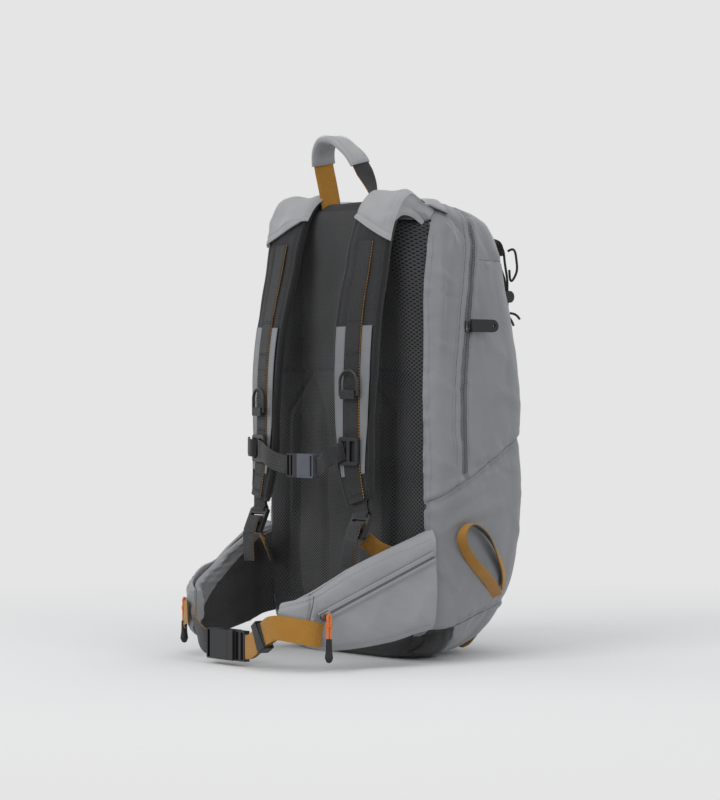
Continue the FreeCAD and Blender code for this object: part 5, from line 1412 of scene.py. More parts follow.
# ---------------------------------------------------------------- lower webbing
LOWER_BAND = make_track(
    from_back((STRAP_X + 13, -40.5, 127), (STRAP_X + 22, -32, 117), (STRAP_X + 34, -18, 109),
              (STRAP_X + 44, -7, 102)),
    [vec(0.9, 0.3, 0.35), vec(0.75, 0.25, 0.6), vec(0.55, 0.2, 0.8)], 40)
LOWER_TAIL = make_track(
    from_back((STRAP_X + 11, -58.5, 126.5), (STRAP_X + 10, -60, 111), (STRAP_X + 9, -59.5, 97)),
    [vec(1, 0, 0), vec(1, 0.1, 0)], 24)
# the band over the lock's bar, and its return in front
LOCK_LOOPS = [
    [*from_back((87.5, -40.5, 127)), at_lock(-11.0, -3.6), at_lock(-5.2, -1.4),
     at_lock(0, 3.1), at_lock(4.8, 0.6), at_lock(3.6, -3.2)],
    [at_lock(3.2, 4.3), at_lock(-3.0, 4.9), at_lock(-11.0, 4.4),
     *from_back((85.5, -58.5, 126.5))]]


def lower_webbing(tag, side):
    band, tail = LOWER_BAND.on(side), LOWER_TAIL.on(side)
    soup = Soup()
    band_out = 1.0 if band.normal[20][0] * side + band.normal[20][2] > 0 else -1.0
    webbing(soup, band, 20.0, 1.5, band_out, mats=(3, 4, 0), wobble=0.2, seed=6)
    tail_out = tail.front_sign()
    webbing(soup, tail, 20.0, 1.5, tail_out, mats=(0, 1, 3), wobble=0.2, seed=7)
    for points in LOCK_LOOPS:
        loop = make_track(points, [vec(1, 0, 0), vec(1, 0, 0)], 40).on(side)
        webbing(soup, loop, 20.0, 1.4, 1.0, mats=(0, 1, 0), wobble=0.05, seed=8)
    # the tail's sewn end
    normal = tail.normal[-1] * tail_out
    for shift in (-4.0, -1.6):
        tack(soup, tail.point[-1] + tail.along[-1] * shift + normal * 0.9, tail.across[-1], 8.5,
             normal, 2, pitch=2.4, length=1.8, radius=0.35, lift=0.2)
    place(soup, "lower_webbing_" + tag,
          [WEB_BLACK, EDGE_BLACK, THREAD_BLACK, WEB_MUSTARD, EDGE_MUSTARD])


for tag, side in SIDES:
    lower_webbing(tag, side)

# ---------------------------------------------------------------- sternum webbing
STERNUM_Z = 217.0               # height where it meets the straps
BUCKLE_Z = 201.0
BUCKLE_X = 8.0
BUCKLE_RIGHT = BUCKLE_X + 27.0
BUCKLE_LEFT = BUCKLE_X - 20.0
STERNUM_WIDTH = 19.0


def sternum_webbing():
    materials = [WEB_BLACK, EDGE_BLACK, THREAD_BLACK]
    up = vec(0, 0, 1)
    right = make_track(
        from_back((BUCKLE_RIGHT + 2.2, -62.5, BUCKLE_Z), (BUCKLE_RIGHT + 6, -62.7, BUCKLE_Z + 0.6),
                  (50, -63, BUCKLE_Z + 6), (63, -59.3, STERNUM_Z - 3),
                  (69.0, -57.9, STERNUM_Z - 1), (72.2, -55.0, STERNUM_Z)),
        [up, up, vec(0.15, 0, 1)], 40)
    left = make_track(
        from_back((-72.2, -55.0, STERNUM_Z), (-69, -57.9, STERNUM_Z), (-63, -59.5, STERNUM_Z - 2),
                  (-52, -62.5, BUCKLE_Z + 10), (-36, -63.2, BUCKLE_Z + 4),
                  (BUCKLE_LEFT - 6, -62.7, BUCKLE_Z + 0.6), (BUCKLE_LEFT - 2.2, -62.5, BUCKLE_Z)),
        [vec(-0.1, 0, 1), up, up], 50)
    tail = make_track(
        from_back((-77.5, -54.5, STERNUM_Z), (-82, -57.2, STERNUM_Z + 0.4),
                  (-89, -55.8, STERNUM_Z + 1), (-95.0, -52.0, STERNUM_Z + 2.5),
                  (-101.0, -46, STERNUM_Z + 2)), [up, up], 20)
    soup = Soup()
    out = right.front_sign()
    webbing(soup, right, STERNUM_WIDTH, 1.5, out, mats=(0, 1, 0), wobble=0.15, seed=9)
    k = 30
    normal = right.normal[k] * out
    for shift in (-1.2, 0.0, 1.2):
        tack(soup, right.point[k] + normal * 0.95 + right.along[k] * shift, right.across[k], 8,
             normal, 2, pitch=2.2, length=1.8, radius=0.35)
    place(soup, "sternum_webbing_right", materials)
    soup = Soup()
    webbing(soup, left, STERNUM_WIDTH, 1.5, left.front_sign(), mats=(0, 1, 0),
            wobble=0.15, seed=10)
    webbing(soup, tail, STERNUM_WIDTH, 1.5, tail.front_sign(), mats=(0, 1, 0),
            wobble=0.2, seed=11)
    place(soup, "sternum_webbing_left", materials)


sternum_webbing()

# ---------------------------------------------------------------- hip wings
WING_HEIGHT = 102.0
WING_DEPTH = 11.0
WING_HEIGHTS = [WING_HEIGHT * k for k in (1, .97, .93, .87, .8, .68, .52, .32)]
WING_DEPTHS = [WING_DEPTH * k for k in (1, 1, 1, 1, 1, .85, .65, .4)]
WING_PATHS = {
    "right": from_back((141.5, 2, 87), (134.6, -27.5, 77.3), (127.4, -59, 68), (120.2, -90.5, 59),
                       (114.6, -115, 52), (110.6, -133.5, 49.5), (103.5, -145, 49.5),
                       (91.5, -150.5, 51)),
    "left": from_back((-141.5, 2, 87), (-134, -22, 78), (-126.5, -48, 69.5), (-118.5, -74, 61),
                      (-112, -95.5, 54.5), (-106, -112.5, 52), (-96.5, -123.5, 52),
                      (-84, -129, 53.5))}
# the pocket zip's low end, high end and outward direction
WING_ZIPS = {
    "right": (vec(123.525, -207.632, 53.0), vec(154.434, -83.463, 111.0),
              vec(0.9704, -0.2416, 0)),
    "left": (vec(-118.157, -193.816, 53.0), vec(-154.607, -84.471, 111.0),
             vec(-0.9487, -0.3162, 0))}
WING_COUNT = 127
WING_COLS = 46                  # columns of the outer face


class Wing:
    def __init__(self, tag, side):
        path = WING_PATHS[tag]
        self.tag, self.side = tag, side
        self.track = make_track(path, [vec(0, 0, 1), vec(0, 0, 1)], WING_COUNT, upright=True)
        self.sign = 1.0 if self.track.normal[60][0] * side > 0 else -1.0
        self.outward = self.track.normal * self.sign
        self.zip_low, self.zip_high, self.zip_out = WING_ZIPS[tag]
        self.zip_along = unit(self.zip_high - self.zip_low)
        self.zip_across = np.cross(self.zip_out, self.zip_along)
        run = unit(path[1] - path[0])
        self.blend = ("pack", "hip_wing_" + tag, tuple((path[0] + run * 2) * 0.001),
                      tuple((path[0] + run * 46) * 0.001))


def wing_face_depth(wing, f):
    """Depth of the outer face. It reaches the straight zip line, so the zip lies in the cloth."""
    depth = spread(WING_DEPTHS, f)
    to_zip = ((wing.zip_low - wing.track.point) @ wing.zip_out) / (wing.outward @ wing.zip_out)
    reach = np.where(f < 0.80, to_zip - 0.9, depth + 0.2)
    face = np.maximum(depth + 0.2, np.minimum(reach, depth + 6.0))
    smooth = np.convolve(np.pad(face, 4, mode="edge"), np.ones(9) / 9, "valid")
    return np.maximum(smooth, depth * 0.6)


def wing_shell(wing):
    """The pocket's outer cloth. Returns its undisturbed bottom edge, (N, 1, 3)."""
    track, side, sign = wing.track, wing.side, wing.sign
    f = track.fractions()
    half = spread(WING_HEIGHTS, f) / 2
    face = wing_face_depth(wing, f)
    columns = np.linspace(-1, 1, WING_COLS + 1)
    ring = stack_ring(
        [(a * (half - 0.6), face * (0.30 + 0.70 * (1 - abs(a) ** 7))) for a in columns]
        + [(half - 0.2 * k, face * (0.30 - 0.10 * k)) for k in (1, 2)]
        + [(a * (half - 1.0), 0 * half + 0.35) for a in columns[::-1][::2]]
        + [(-(half - 0.2 * k), face * 0.10 * k) for k in (1, 2)])
    ring[:, :, 1] *= sign
    plain = track.surface(ring)
    height = ring[:, :, 0].copy()
    along = f[:, None]
    half = half[:, None]
    outer = (np.arange(ring.shape[1]) <= WING_COLS)[None, :]
    edge_fade = np.clip((half - np.abs(height)) / 10.0, 0, 1)
    # the cloth stays flat near the zip line
    rel = plain - wing.zip_low
    up_zip = rel @ wing.zip_along
    off_zip = rel @ wing.zip_across
    length = np.linalg.norm(wing.zip_high - wing.zip_low)
    near = bell(off_zip, 9.0) * (up_zip > -6) * (up_zip < length + 6)
    big = waves(41 + side, 10, 30, 75, flat=(1, 1, 0.7))
    small = waves(51 + side, 14, 9, 20)
    ripple = (1.0 if side > 0 else 1.8) * (0.9 * big(plain) + 0.18 * small(plain))
    rise = ripple * edge_fade * (1 - near)
    rise -= 0.78 * bell(off_zip, 5.4) * (up_zip > -3)
    # seam near the tip, and hems along the two long edges
    seam_at = 0.845 - 0.035 * height / (WING_HEIGHT / 2)
    rise -= 1.9 * bell((along - seam_at) * 165, 1.7)
    rise -= 0.9 * bell(half - np.abs(height) - 5.5, 1.3)
    if side < 0:                # gathers under the left wing's top edge
        rise += (2.0 * np.sin(along * 60 + 2.2 * big(plain * 0.6)) * bell(height - half, 26.0)
                 * np.clip((along - 0.05) * 6, 0, 1) * edge_fade)
    ring[:, :, 1] += sign * rise * outer
    # the long edges wave a little
    wave = (0.8 if side > 0 else 2.0) * waves(61, 6, 40, 90)(track.point)[:, None]
    ring[:, :, 0] += wave * (height / half) * np.clip((along - 0.02) * 8, 0, 1)
    soup = Soup()
    surface = sweep(soup, track, ring, 0)

    def sew_tip(shift, js, mat, **thread):
        k = (0.845 - 0.035 * columns[js] + shift) * (WING_COUNT - 1)
        low = k.astype(int)
        w = (k - low)[:, None]
        line = surface[low, js] * (1 - w) + surface[low + 1, js] * w
        stitches(soup, line, wing.outward[low], mat, **thread)
    for shift in (-0.018, 0.018):
        sew_tip(shift, np.arange(2, WING_COLS - 1), 1,
                pitch=3.2, length=2.2, radius=0.28, lift=0.12)
    # a dark line along the tip seam: painted seam shadow
    sew_tip(0.0, np.arange(1, WING_COLS), 2, pitch=1.7, length=1.9, radius=0.42)
    for j in (3, WING_COLS - 3):
        stitches(soup, surface[3:-6, j], wing.outward[3:-6], 1,
                 pitch=3.4, length=2.3, radius=0.28, lift=0.12)
    place(soup, "hip_wing_pocket_" + wing.tag, [WING_CLOTH, THREAD_GREY, SEAM_SHADE_PAINT],
          blend=wing.blend)
    return plain[:, :1]


def wing_pad(wing, shell_edge):
    """The inner padding: mesh with a band of cloth along its top and round its tip."""
    columns, corner_steps, band_cols = 31, 5, 10
    f = wing.track.fractions()
    half = (spread(WING_HEIGHTS, f) - 4) / 2
    flat = half - 1.5
    band = np.interp(f, [0, 0.3, 0.7, 0.88, 0.93, 1.0], [9, 13, 22, 34, 60, 70])
    band_edge = np.maximum(half - band, -flat + 0.8)

    def corner(face):
        angles = [face * math.pi / 2 - math.pi * k / corner_steps for k in range(1, corner_steps)]
        return [(face * flat + 2.6 * math.cos(a), -4.2 + 3.4 * math.sin(a) + 0 * half)
                for a in angles]
    inner_face = []
    for c in range(columns):
        if c <= band_cols:
            a = flat + (band_edge - flat) * c / float(band_cols)
        else:
            a = band_edge + (-flat - band_edge) * (c - band_cols) / 20.0
        puff = 1.6 * (1 - np.abs(a / flat) ** 3) * np.clip(np.minimum(f, 1 - f) * 9, 0, 1)
        root = 13.0 * np.clip(1 - f / 0.13, 0, 1) ** 1.6
        inner_face.append((a, -8.2 - puff - root))
    outer_face = [(a * flat, -0.3 + 0 * half) for a in np.linspace(-1, 1, columns)]
    ring = stack_ring(outer_face + corner(1) + inner_face + corner(-1))
    first = columns + corner_steps - 1          # the inner face's first column
    index = np.arange(ring.shape[1])
    inner = (index >= first) & (index < first + columns)
    height = ring[:, :, 0]
    lip = (half - band)[:, None]
    ring[:, :, 1] += inner * 1.5 * bell(np.abs(height) - 16, 1.6)
    ring[:, :, 1] *= wing.sign
    small = waves(51 + wing.side, 14, 9, 20)(shell_edge * 0.5 + ring[:, :, :1])
    ring[:, :, 1] -= wing.sign * inner * (0.8 * small * (height > lip)
                                          - 1.1 * bell(np.abs(height - lip), 1.4))
    cloth = (index >= columns) & (index < first + band_cols)
    mats = np.where(cloth | (f[:-1] > 0.945)[:, None], 3, np.where(inner, 0, 1))
    soup = Soup()
    surface = sweep(soup, wing.track, ring, mats, cap_mat=3)
    for j in (first + 2, first + 29):
        stitches(soup, surface[3:-4, j], -wing.outward[3:-4], 2,
                 pitch=3.4, length=2.3, radius=0.3, lift=0.15)
    place(soup, "hip_wing_pad_" + wing.tag, [AIR_MESH, BINDING, THREAD_BLACK, WING_CLOTH],
          blend=wing.blend)


def wing_zip(wing):
    """The pocket zip: tape, two flaps and teeth."""
    count = 60
    along, across = wing.zip_along, unit(wing.zip_across)
    line = (np.linspace(0, 1, count)[:, None] * (wing.zip_high - wing.zip_low)[None]
            + wing.zip_low)
    normals = np.tile(wing.zip_out, (count, 1))
    track = Track(line, np.tile(along, (count, 1)), np.tile(across, (count, 1)), normals)
    soup = Soup()
    sweep(soup, track, band_ring(count, 9.0, 1.0)[0], 0)
    # a raised flap's section: distance from the zip's middle, height
    flap = [(1.2, 0.3), (1.4, 1.0), (2.9, 1.25), (4.6, 0.9), (5.6, 0.2), (4.4, -0.2)]
    for edge in (-1, 1):
        section = np.array(flap) * vec(edge, 1)
        sweep(soup, track, np.broadcast_to(section, (count, len(flap), 2)), 3)
        stitches(soup, track.line(edge * 4.1, 1.05), normals, 2,
                 pitch=3.0, length=2.0, radius=0.26, lift=0.1)
    zip_teeth(soup, track.line(0, 0.6), normals, pitch=1.7, offset=0.6,
              size=(1.0, 1.4, 0.7), mat=1)
    place(soup, "hip_zipper_" + wing.tag, [ZIP_TAPE, ZIP_TEETH, THREAD_GREY, WING_CLOTH],
          blend=wing.blend)


WINGS = {}
for tag, side in SIDES:
    WINGS[tag] = Wing(tag, side)
    bottom_edge = wing_shell(WINGS[tag])
    wing_pad(WINGS[tag], bottom_edge)
    wing_zip(WINGS[tag])


def wing_face(tag, station, z, extra):
    """A point at height z off the CAD's outer wing face, at a station 0..21."""
    fraction = station / 21.0
    k = fraction * (WING_COUNT - 1)
    wing = WINGS[tag]
    depth = spread(WING_DEPTHS, np.array([fraction]))[0]
    point = (sample(wing.track.point, k)
             + unit(sample(wing.track.normal, k)) * wing.sign * (depth + 0.2 + extra))
    return vec(point[0], point[1], z)


# ---------------------------------------------------------------- belt webbing
BELT_WIDTH = 25.0
BELT_THICK = 1.6
HIP_BUCKLE_X = 12.0
HIP_BUCKLE_Y = -154.0           # from the back plane
HIP_BUCKLE_Z = 20.5
HIP_RIGHT = HIP_BUCKLE_X + 26 + 0.4
HIP_LEFT = HIP_BUCKLE_X - 35.0
BELT_MATERIALS = MUSTARD_BAND + [THREAD_MUSTARD]


def belt_right():
    up, lean, half_lean = vec(0, 0, 1), vec(0.35, 0, 1), vec(0.2, 0, 1)
    inner = make_track(
        from_back((83.5, -156.0, 41), (78, -157.0, 37.8), (70, -157.6, 32.5), (60, -157.0, 26.5),
                  (HIP_RIGHT + 6, -154.6, 20.6), (HIP_RIGHT + 2.2, HIP_BUCKLE_Y, HIP_BUCKLE_Z)),
        [up, lean, half_lean, up], 60)
    # station on the wing, height, distance off its face
    on_wing = [(16.4, 36, 2.6), (17.3, 37.5, 2.8), (18.3, 40, 2.9), (19.4, 42, 3.0)]
    tail = make_track(
        [*[wing_face("right", *row) for row in on_wing],
         *from_back((89.5, -162.5, 42.5), (83, -163.0, 39.6), (73.5, -162.5, 34.3),
                    (62, -161.2, 27.6), (HIP_RIGHT + 7, -158.2, 20.7),
                    (HIP_RIGHT + 2.2, -157.4, HIP_BUCKLE_Z))],
        [up, up, up, lean, half_lean, up], 100)
    out = tail.front_sign()
    soup = Soup()
    webbing(soup, inner, BELT_WIDTH, BELT_THICK, inner.front_sign(), wobble=0.15, seed=13)
    webbing(soup, tail, BELT_WIDTH, BELT_THICK, out, wobble=0.25, seed=14)
    k = 3
    normal = tail.normal[k] * out
    for shift in (2.0, 4.2):
        tack(soup, tail.point[k] + normal + tail.along[k] * shift, tail.across[k], 11,
             normal, 3, pitch=2.4, length=1.9, radius=0.35, lift=0.2)
    # the thicker sleeve under the keeper
    low, high = box_mm("hip_webbing_keeper")
    k = int(np.argmin(np.linalg.norm(tail.point - (low + high) / 2, axis=1)))
    reach = max(int(8.5 / np.linalg.norm(tail.point[1] - tail.point[0])), 2)
    sleeve = tail.part(max(k - reach, 1), min(k + reach, tail.count - 2) + 1)
    webbing(soup, sleeve, 27.2, 4.2, out, mats=(2, 2, 2), wobble=0.1, seed=18)
    place(soup, "hip_webbing_right", BELT_MATERIALS)


def belt_left():
    up = vec(0, 0, 1)
    band = make_track(
        from_back((-76, -137.0, 44.5), (-66, -142.8, 38), (-53, -148.6, 30), (-39, -152.8, 23),
                  (HIP_LEFT - 6, HIP_BUCKLE_Y, 20.6),
                  (HIP_LEFT - 2.2, HIP_BUCKLE_Y, HIP_BUCKLE_Z)),
        [up, vec(-0.35, 0, 1), vec(-0.2, 0, 1), up], 50)
    on_wing = [(17.3, 38, 2.4), (18.0, 40, 2.6), (18.6, 43, 2.8), (19.6, 45, 3.0)]
    patch = make_track([*[wing_face("left", *row) for row in on_wing],
                        *from_back((-84, -139.5, 47.5))], [up, up], 40)
    soup = Soup()
    webbing(soup, band, BELT_WIDTH, BELT_THICK, band.front_sign(), mats=(2, 1, 0),
            wobble=0.2, seed=15)
    webbing(soup, patch, BELT_WIDTH, BELT_THICK, patch.front_sign(), wobble=0.2, seed=16)
    place(soup, "hip_webbing_left", BELT_MATERIALS)


belt_right()
belt_left()


# ---------------------------------------------------------------- haul handle
def haul_handle():
    band = make_track(
        from_back((-36, 15, 473), (-36.5, 12, 488), (-36.5, 8, 504), (-36, 4, 519),
                  (-31, 0, 534.5), (-18, -3, 543.5), (-2, -3, 542), (13, -1, 533),
                  (24, 2, 521.5), (31, 5, 509), (36, 9, 496), (38.5, 15, 473)),
        [vec(0.62, 0.78, 0), vec(0.57, 0.82, 0), vec(0.2, 0.98, 0), vec(0.08, 1, 0),
         vec(0.2, 0.98, 0), vec(-0.7, 0.7, 0)], 141)
    out = 1.0 if band.normal[70][2] > 0 else -1.0
    soup = Soup()
    webbing(soup, band, 21.0, 1.6, out, mats=(2, 1, 0), wobble=0.2, seed=17)
    place(soup, "haul_webbing", MUSTARD_BAND)
    # the padded grip round the band's middle
    grip = band.part(36, 105)
    f = grip.fractions()
    thick = 5.8 + 2.4 * np.maximum(np.sin(np.pi * f), 0) ** 0.7
    ring, _ = pad_ring(grip.count, 25.5, thick - 1.6, out, puff=1.1, edge=2.6, cols=16)
    ring[:, :, 1] += 0.35 * waves(71, 9, 12, 30)(grip.across_at(ring[:, :, 0]))
    ends = np.clip(np.minimum(f, 1 - f) * 22, 0, 1) ** 0.5
    ring[:, :, 1] *= (0.62 + 0.38 * ends)[:, None]
    soup = Soup()
    sweep(soup, grip, ring, 0)
    for edge in (-1, 1):
        stitches(soup, grip.line(edge * 9.0, out * (thick / 2 + 0.2))[3:-3],
                 grip.normal[3:-3] * out, 1, pitch=3.2, length=2.2, radius=0.3, lift=0.2)
    place(soup, "haul_grip", [YOKE_TOPLIT_FABRIC, THREAD_LIGHT])


haul_handle()

# ---------------------------------------------------------------- loops and base straps
# y from the back plane, z, distance off the bag's plain side
SKI_LOOP = [(127, 71, 5), (122, 86, 6), (107, 106, 7.5), (87, 126, 9), (65, 138.5, 10),
            (49, 140, 10.5), (40.5, 131, 10.5), (48, 114, 9.5), (76, 91, 8.5), (104, 72, 6.5),
            (116, 63, 5)]


def outline(z):
    return outlines(np.array([float(z)]))[0]


def plain_side(y, z):
    """x of the undisplaced side of the bag."""
    ring = outline(z)
    half = ring[20:len(ring) // 2 + 1]
    half = half[np.argsort(half[:, 1])]
    return float(np.interp(y, half[:, 1], half[:, 0]))


def plain_front(x, z):
    """y of the undisplaced front of the bag."""
    half = outline(z)[:sum(OUTLINE_COUNTS[:2])]
    return float(np.interp(x, half[:, 0], half[:, 1]))


def ski_loops():
    right = make_track(
        from_back(*[(plain_side(y, z) + off, y, z) for y, z, off in SKI_LOOP]),
        [vec(0.35, -0.75, -0.55), vec(0.6, -0.6, -0.45), vec(0.95, -0.2, -0.1),
         vec(0.9, 0.1, 0.1), vec(0.75, 0.35, 0.25), vec(0.6, 0.5, 0.4), vec(0.6, 0.5, 0.4)], 150)
    for tag, side in SIDES:
        track = right.on(side)
        k = 60
        # the outer face looks away from the loop's middle
        away = track.normal[k] @ (track.point[k] - track.point.mean(0))
        soup = Soup()
        webbing(soup, track, 12.5, 2.0, 1.0 if away > 0 else -1.0, wobble=0.2, seed=19)
        place(soup, "ski_loop_" + tag, MUSTARD_BAND)


def base_straps():
    """A small webbing patch low on each side."""
    zs = np.linspace(8.5, 33.5, 14)
    ys = np.linspace(12, 34, 12)
    soup = Soup()
    for side in (1, -1):
        points, normals = split_pairs([on_side(y, z, side, 1.7) for z in zs for y in ys])
        points = points.reshape(len(zs), len(ys), 3)
        normals = normals.reshape(points.shape)
        two_ply(soup, points, normals, 1.5, np.linspace(0, 22, len(ys)),
                np.linspace(0, 26, len(zs)), probe=20)
        for j in (1, len(ys) - 2):
            stitches(soup, points[:, j], normals[:, j], 1,
                     pitch=3.2, length=2.2, radius=0.3, lift=0.15)
    place(soup, "base_straps", [WEB_BLACK, THREAD_BLACK])


def tool_loop():
    low, high = box_mm("tool_loop")
    x = 62.0
    _, first_y, first_z = low * 0.66 + high * 0.34
    second_y = low[1] * 0.33 + high[1] * 0.67
    first_z = low[2] * 0.8 + high[2] * 0.2
    second_z = low[2] * 0.45 + high[2] * 0.55
    track = make_track([vec(x, low[1] + 1, low[2] + 0.8), vec(x + 0.5, first_y, first_z),
                        vec(x + 1, second_y, second_z), vec(x + 1, high[1] - 0.6, high[2] - 0.8)],
                       [vec(1, -0.1, 0), vec(1, -0.1, 0)], 30)
    soup = Soup()
    webbing(soup, track, 10.0, 1.4, 1.0, mats=(0, 1, 0))
    place(soup, "tool_loop", [WEB_MUSTARD, EDGE_MUSTARD])


ski_loops()
base_straps()
tool_loop()


# ---------------------------------------------------------------- cords
def pole_cord():
    """The cord hung from a tab on the front: two legs through the cord lock, and a knot."""
    radius = 1.3
    ax, az = 66.0, 432.0        # the anchor tab
    ay = plain_front(ax, az)
    lx, lz = ax + 6, 379.0      # the cord lock
    ly = plain_front(lx, lz) + 9.5
    hang = plain_front(lx, 402.0) + 6.0

    def leg(top_x, bend_x, bend_y, shift):
        return [(top_x, ay + 15.0, az - 6), (bend_x, bend_y, az - 18),
                *[(lx, ly + shift, lz + dz) for dz in (15, 9, 3, -4, -11)]]
    # points and how many steps they are drawn in
    cords = [
        (leg(ax - 3.5, ax - 1.0, max(ay + 14.0, hang), -1.7), 60),
        (leg(ax + 4.5, ax + 6.0, max(ay + 15.4, hang + 1.5), 1.7), 60),
        ([(ax - 3.5, ay + 15.0, az - 6), (ax - 2.5, ay + 12.5, az + 0.2),
          (ax + 0.5, ay + 11.0, az + 2.6), (ax + 3.6, ay + 12.5, az + 0.2),
          (ax + 4.5, ay + 15.0, az - 6)], 40),
        ([(ax + 8.6, ay + 17.0, az - 4), (ax + 13, ay + 20, az - 2), (ax + 17, ay + 22, az - 14),
          (ax + 17, ay + 21, az - 29), (ax + 13, ay + 18.5, az - 36),
          (ax + 10.6, ay + 17.5, az - 24)], 60),
        ([(lx + 4.6, ly + 1.5, lz - 17.5), (lx + 10, ly + 4, lz - 19),
          (lx + 16, ly + 5, lz - 24)], 24),
        ([(lx + 4.0, ly - 1.5, lz - 20), (lx + 8, ly - 1, lz - 24),
          (lx + 13, ly - 1, lz - 31)], 24)]
    soup = Soup()
    for points, count in cords:
        tube(soup, from_back(*points), radius, count=count)
    # the knot, three tight turns: width, depth and tilt of each
    centre = from_back((lx, ly, lz - 17))[0]
    a = np.linspace(0, 2 * math.pi, 30)
    for k, (wide, deep, tilt) in enumerate(((3.2, 2.6, 0.0), (3.0, 2.8, 1.1), (2.6, 3.1, 2.3))):
        turn = np.stack([np.cos(a) * wide, np.sin(a) * deep * math.cos(tilt),
                         np.sin(a) * deep * math.sin(tilt) * 0.8 + (k - 1) * 1.2], 1)
        tube(soup, turn + centre, 1.35, closed=True, sides=12)
    place(soup, "pole_cord", [CORD])
    anchor = make_track(
        from_back((ax, ay + 1.6, az + 8), (ax + 0.5, ay + 8, az + 5.5), (ax + 1, ay + 12, az - 2),
                  (ax + 1, ay + 11, az - 9)), [vec(1, -0.08, 0), vec(1, -0.08, 0)], 30)
    soup = Soup()
    webbing(soup, anchor, 13.0, 1.8, 1.0, mats=(0, 0, 0))
    place(soup, "cord_anchor_tab", [WEB_BLACK])


def hip_pull(tag):
    """An orange cord loop with a wrapped collar half-way down."""
    low, high = box_mm("hip_pull_cord_" + tag)
    foot = (low + high) / 2 * vec(1, 1, 0)
    zip_low, zip_high, _ = WING_ZIPS[tag]
    along = unit((zip_high - zip_low) * vec(1, 1, 0))
    top, bottom = high[2] - 2.7, low[2]
    # shift along the zip, height
    path = [(-1.5, bottom), (-1.6, bottom + 8), (-1.5, top - 3), (-1.4, top + 0.3),
            (0, top + 1.6), (1.4, top + 0.3), (1.5, top - 3), (1.6, bottom + 8), (1.5, bottom)]
    soup = Soup()
    tube(soup, [foot + along * shift + vec(0, 0, z) for shift, z in path], 1.3,
         count=80, sides=12)
    a = np.linspace(0, 2 * math.pi, 24)
    across = np.cross(along, vec(0, 0, 1))
    for k in range(3):
        centre = foot + vec(0, 0, bottom + 12 + k * 1.5)
        ring = centre + np.outer(np.cos(a), along) * 2.9 + np.outer(np.sin(a), across) * 1.5
        tube(soup, ring, 0.8, closed=True, sides=8)
    place(soup, "hip_pull_cord_" + tag, [CORD_ORANGE])


pole_cord()
for tag, _ in SIDES:
    hip_pull(tag)

# ---------------------------------------------------------------- hardware keeps its CAD form
# piece: material, bevel width
HARDWARE = {
    "d_ring_right": (ACETAL, 0), "d_ring_left": (ACETAL, 0),
    "d_ring_keeper_right": (WEB_BLACK, 0.5), "d_ring_keeper_left": (WEB_BLACK, 0.5),
    "ladder_lock_right": (ACETAL, 0.7), "ladder_lock_left": (ACETAL, 0.7),
    "sternum_slider_right": (ACETAL, 0.7), "sternum_slider_left": (ACETAL, 0.7),
    "sternum_buckle_female": (ACETAL_GREY, 1.0), "sternum_buckle_male": (ACETAL, 0.7),
    "hip_buckle_female": (ACETAL, 1.2), "hip_buckle_male": (ACETAL, 0.8),
    "hip_webbing_keeper": (ELASTIC, 0.4),
    "hip_zip_slider_right": (ZIP_METAL, 0.5), "hip_zip_slider_left": (ZIP_METAL, 0.5),
    "hip_pull_grip_right": (RUBBER, 0.3), "hip_pull_grip_left": (RUBBER, 0.3),
    "main_zip_slider": (ZIP_METAL, 0.5), "main_zip_pull_tab": (RUBBER, 0.7),
    "cord_lock_body": (ACETAL, 0.5), "cord_lock_button": (ACETAL, 0.4),
    "back_foam": (FOAM, 0), "frame_sheet": (SHEET, 0)}


def wear(obj, material):
    obj.data.materials.clear()
    obj.data.materials.append(material)


def flat_uv(mesh):
    """A UV map of x and z in mm."""
    co = np.zeros(len(mesh.vertices) * 3)
    mesh.vertices.foreach_get("co", co)
    index = np.zeros(len(mesh.loops), int)
    mesh.loops.foreach_get("vertex_index", index)
    uv = (co.reshape(-1, 3) * 1000)[index][:, [0, 2]]
    layer = mesh.uv_layers.new(name="UVMap")
    layer.data.foreach_set("uv", uv.astype(np.float32).ravel())


def finish_hardware(obj, material, bevel):
    wear(obj, material)
    for polygon in obj.data.polygons:
        polygon.use_smooth = True
        polygon.material_index = 0
    obj.data.set_sharp_from_angle(angle=math.radians(35))
    if not obj.data.uv_layers:
        flat_uv(obj.data)
    if bevel:
        modifier = obj.modifiers.new("edge", "BEVEL")
        modifier.width = bevel * 0.001
        modifier.segments = 3
        modifier.limit_method = "ANGLE"
        modifier.angle_limit = math.radians(40)
        modifier.harden_normals = False


for name, (material, bevel) in HARDWARE.items():
    finish_hardware(NODES[name], material, bevel)
# any other CAD piece still shown is plain black
for name, obj in NODES.items():
    if not obj.hide_render and name not in HARDWARE:
        wear(obj, ACETAL)

# ---------------------------------------------------------------- stage, light and camera
scene = bpy.context.scene
scene.view_settings.view_transform = "Standard"
scene.view_settings.look = "None"


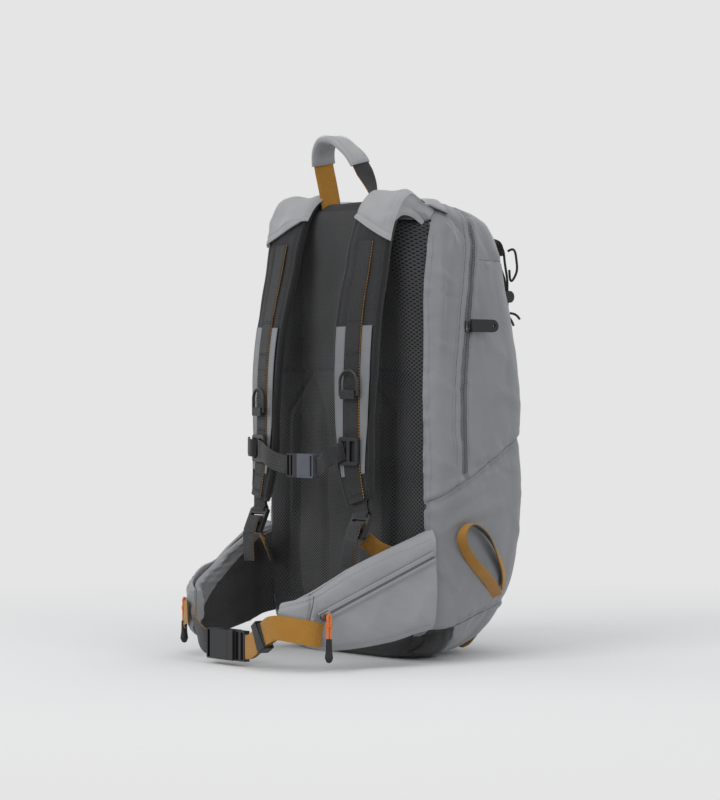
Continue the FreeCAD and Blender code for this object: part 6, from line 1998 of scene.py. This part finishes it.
def make_floor():
    """A round floor in metres that fades out to the background."""
    z = -0.0004                 # just under the base
    segments = 64
    radii = [0.15, 0.3, 0.5, 0.8, 1.2, 1.8, 2.6]
    points = [(0, 0, z)]
    for radius in radii:
        for k in range(segments):
            a = 2 * math.pi * k / segments
            points.append((radius * math.cos(a), radius * math.sin(a), z))
    faces = [(0, 1 + k, 1 + (k + 1) % segments) for k in range(segments)]
    for i in range(len(radii) - 1):
        a, b = 1 + i * segments, 1 + (i + 1) * segments
        for k in range(segments):
            after = (k + 1) % segments
            faces.append((a + k, b + k, b + after, a + after))
    mesh = bpy.data.meshes.new("floor")
    mesh.from_pydata(points, [], faces)
    floor = bpy.data.objects.new("floor", mesh)
    scene.collection.objects.link(floor)
    m = Shader("studio_floor")
    place_on_floor = m.node("ShaderNodeTexCoord").outputs["Object"]
    length = m.node("ShaderNodeVectorMath", "LENGTH")
    m.put(length.inputs[0], place_on_floor)
    fade = m.ramp(length.outputs["Value"], span=(0.30, 1.05), to=(0.0, 1.0))
    diffuse = m.node("ShaderNodeBsdfDiffuse", Color=(0.735, 0.735, 0.735, 1.0))
    clear = m.node("ShaderNodeBsdfTransparent")
    mix = m.node("ShaderNodeMixShader")
    for socket, value in zip(mix.inputs, (fade, diffuse.outputs[0], clear.outputs[0])):
        m.put(socket, value)
    m.put(m.output.inputs[0], mix.outputs[0])
    mesh.materials.append(m.material)


def make_world():
    """A cool fill light; the camera sees a plain grey instead."""
    fill_color, fill_strength = (0.95, 0.975, 1.0, 1), 0.52
    seen_color, seen_strength = (0.783, 0.783, 0.783, 1), 1.0
    world = bpy.data.worlds.new("studio")
    scene.world = world
    world.use_nodes = True
    nodes, links = world.node_tree.nodes, world.node_tree.links
    nodes.clear()
    output = nodes.new("ShaderNodeOutputWorld")
    path = nodes.new("ShaderNodeLightPath")
    fill = nodes.new("ShaderNodeBackground")
    seen = nodes.new("ShaderNodeBackground")
    mix = nodes.new("ShaderNodeMixShader")
    fill.inputs[0].default_value = fill_color
    fill.inputs[1].default_value = fill_strength
    seen.inputs[0].default_value = seen_color
    seen.inputs[1].default_value = seen_strength
    links.new(path.outputs["Is Camera Ray"], mix.inputs[0])
    links.new(fill.outputs[0], mix.inputs[1])
    links.new(seen.outputs[0], mix.inputs[2])
    links.new(mix.outputs[0], output.inputs[0])


def area_light(name, location, size, power):
    """A rectangular light aimed at the bag's middle."""
    target = Vector((0, 0, 0.26))
    light = bpy.data.lights.new(name, "AREA")
    light.shape = "RECTANGLE"
    light.size, light.size_y = size
    light.energy = power
    obj = bpy.data.objects.new(name, light)
    obj.location = location
    obj.rotation_euler = (target - Vector(location)).to_track_quat("-Z", "Y").to_euler()
    scene.collection.objects.link(obj)


def make_camera():
    azimuth, elevation = math.radians(50.0), math.radians(0.5)
    distance = 3.0
    target = Vector((0, 0, 0.270))
    back = Vector((math.sin(azimuth) * math.cos(elevation),
                   -math.cos(azimuth) * math.cos(elevation), math.sin(elevation)))
    camera = bpy.data.cameras.new("camera")
    camera.sensor_fit = "HORIZONTAL"
    camera.sensor_width = 36.0
    camera.lens = 139.5
    camera.shift_x = -0.05541667
    camera.shift_y = -0.002361111
    camera.clip_start, camera.clip_end = 0.1, 50.0
    obj = bpy.data.objects.new("camera", camera)
    obj.location = target + back * distance
    obj.rotation_euler = (-back).to_track_quat("-Z", "Y").to_euler()
    scene.collection.objects.link(obj)
    scene.camera = obj


make_floor()
make_world()
area_light("top_soft", (0.1, -0.1, 2.3), size=(2.2, 2.2), power=15)
area_light("key_left", (0.2, -2.4, 1.5), size=(1.4, 1.6), power=28)
area_light("side_right", (2.6, 0.3, 1.1), size=(1.6, 1.6), power=17)
area_light("rim_back", (-0.8, 2.3, 1.4), size=(1.6, 1.2), power=9)
area_light("fill_low", (-2.3, -0.4, 0.8), size=(1.6, 1.4), power=7)
make_camera()
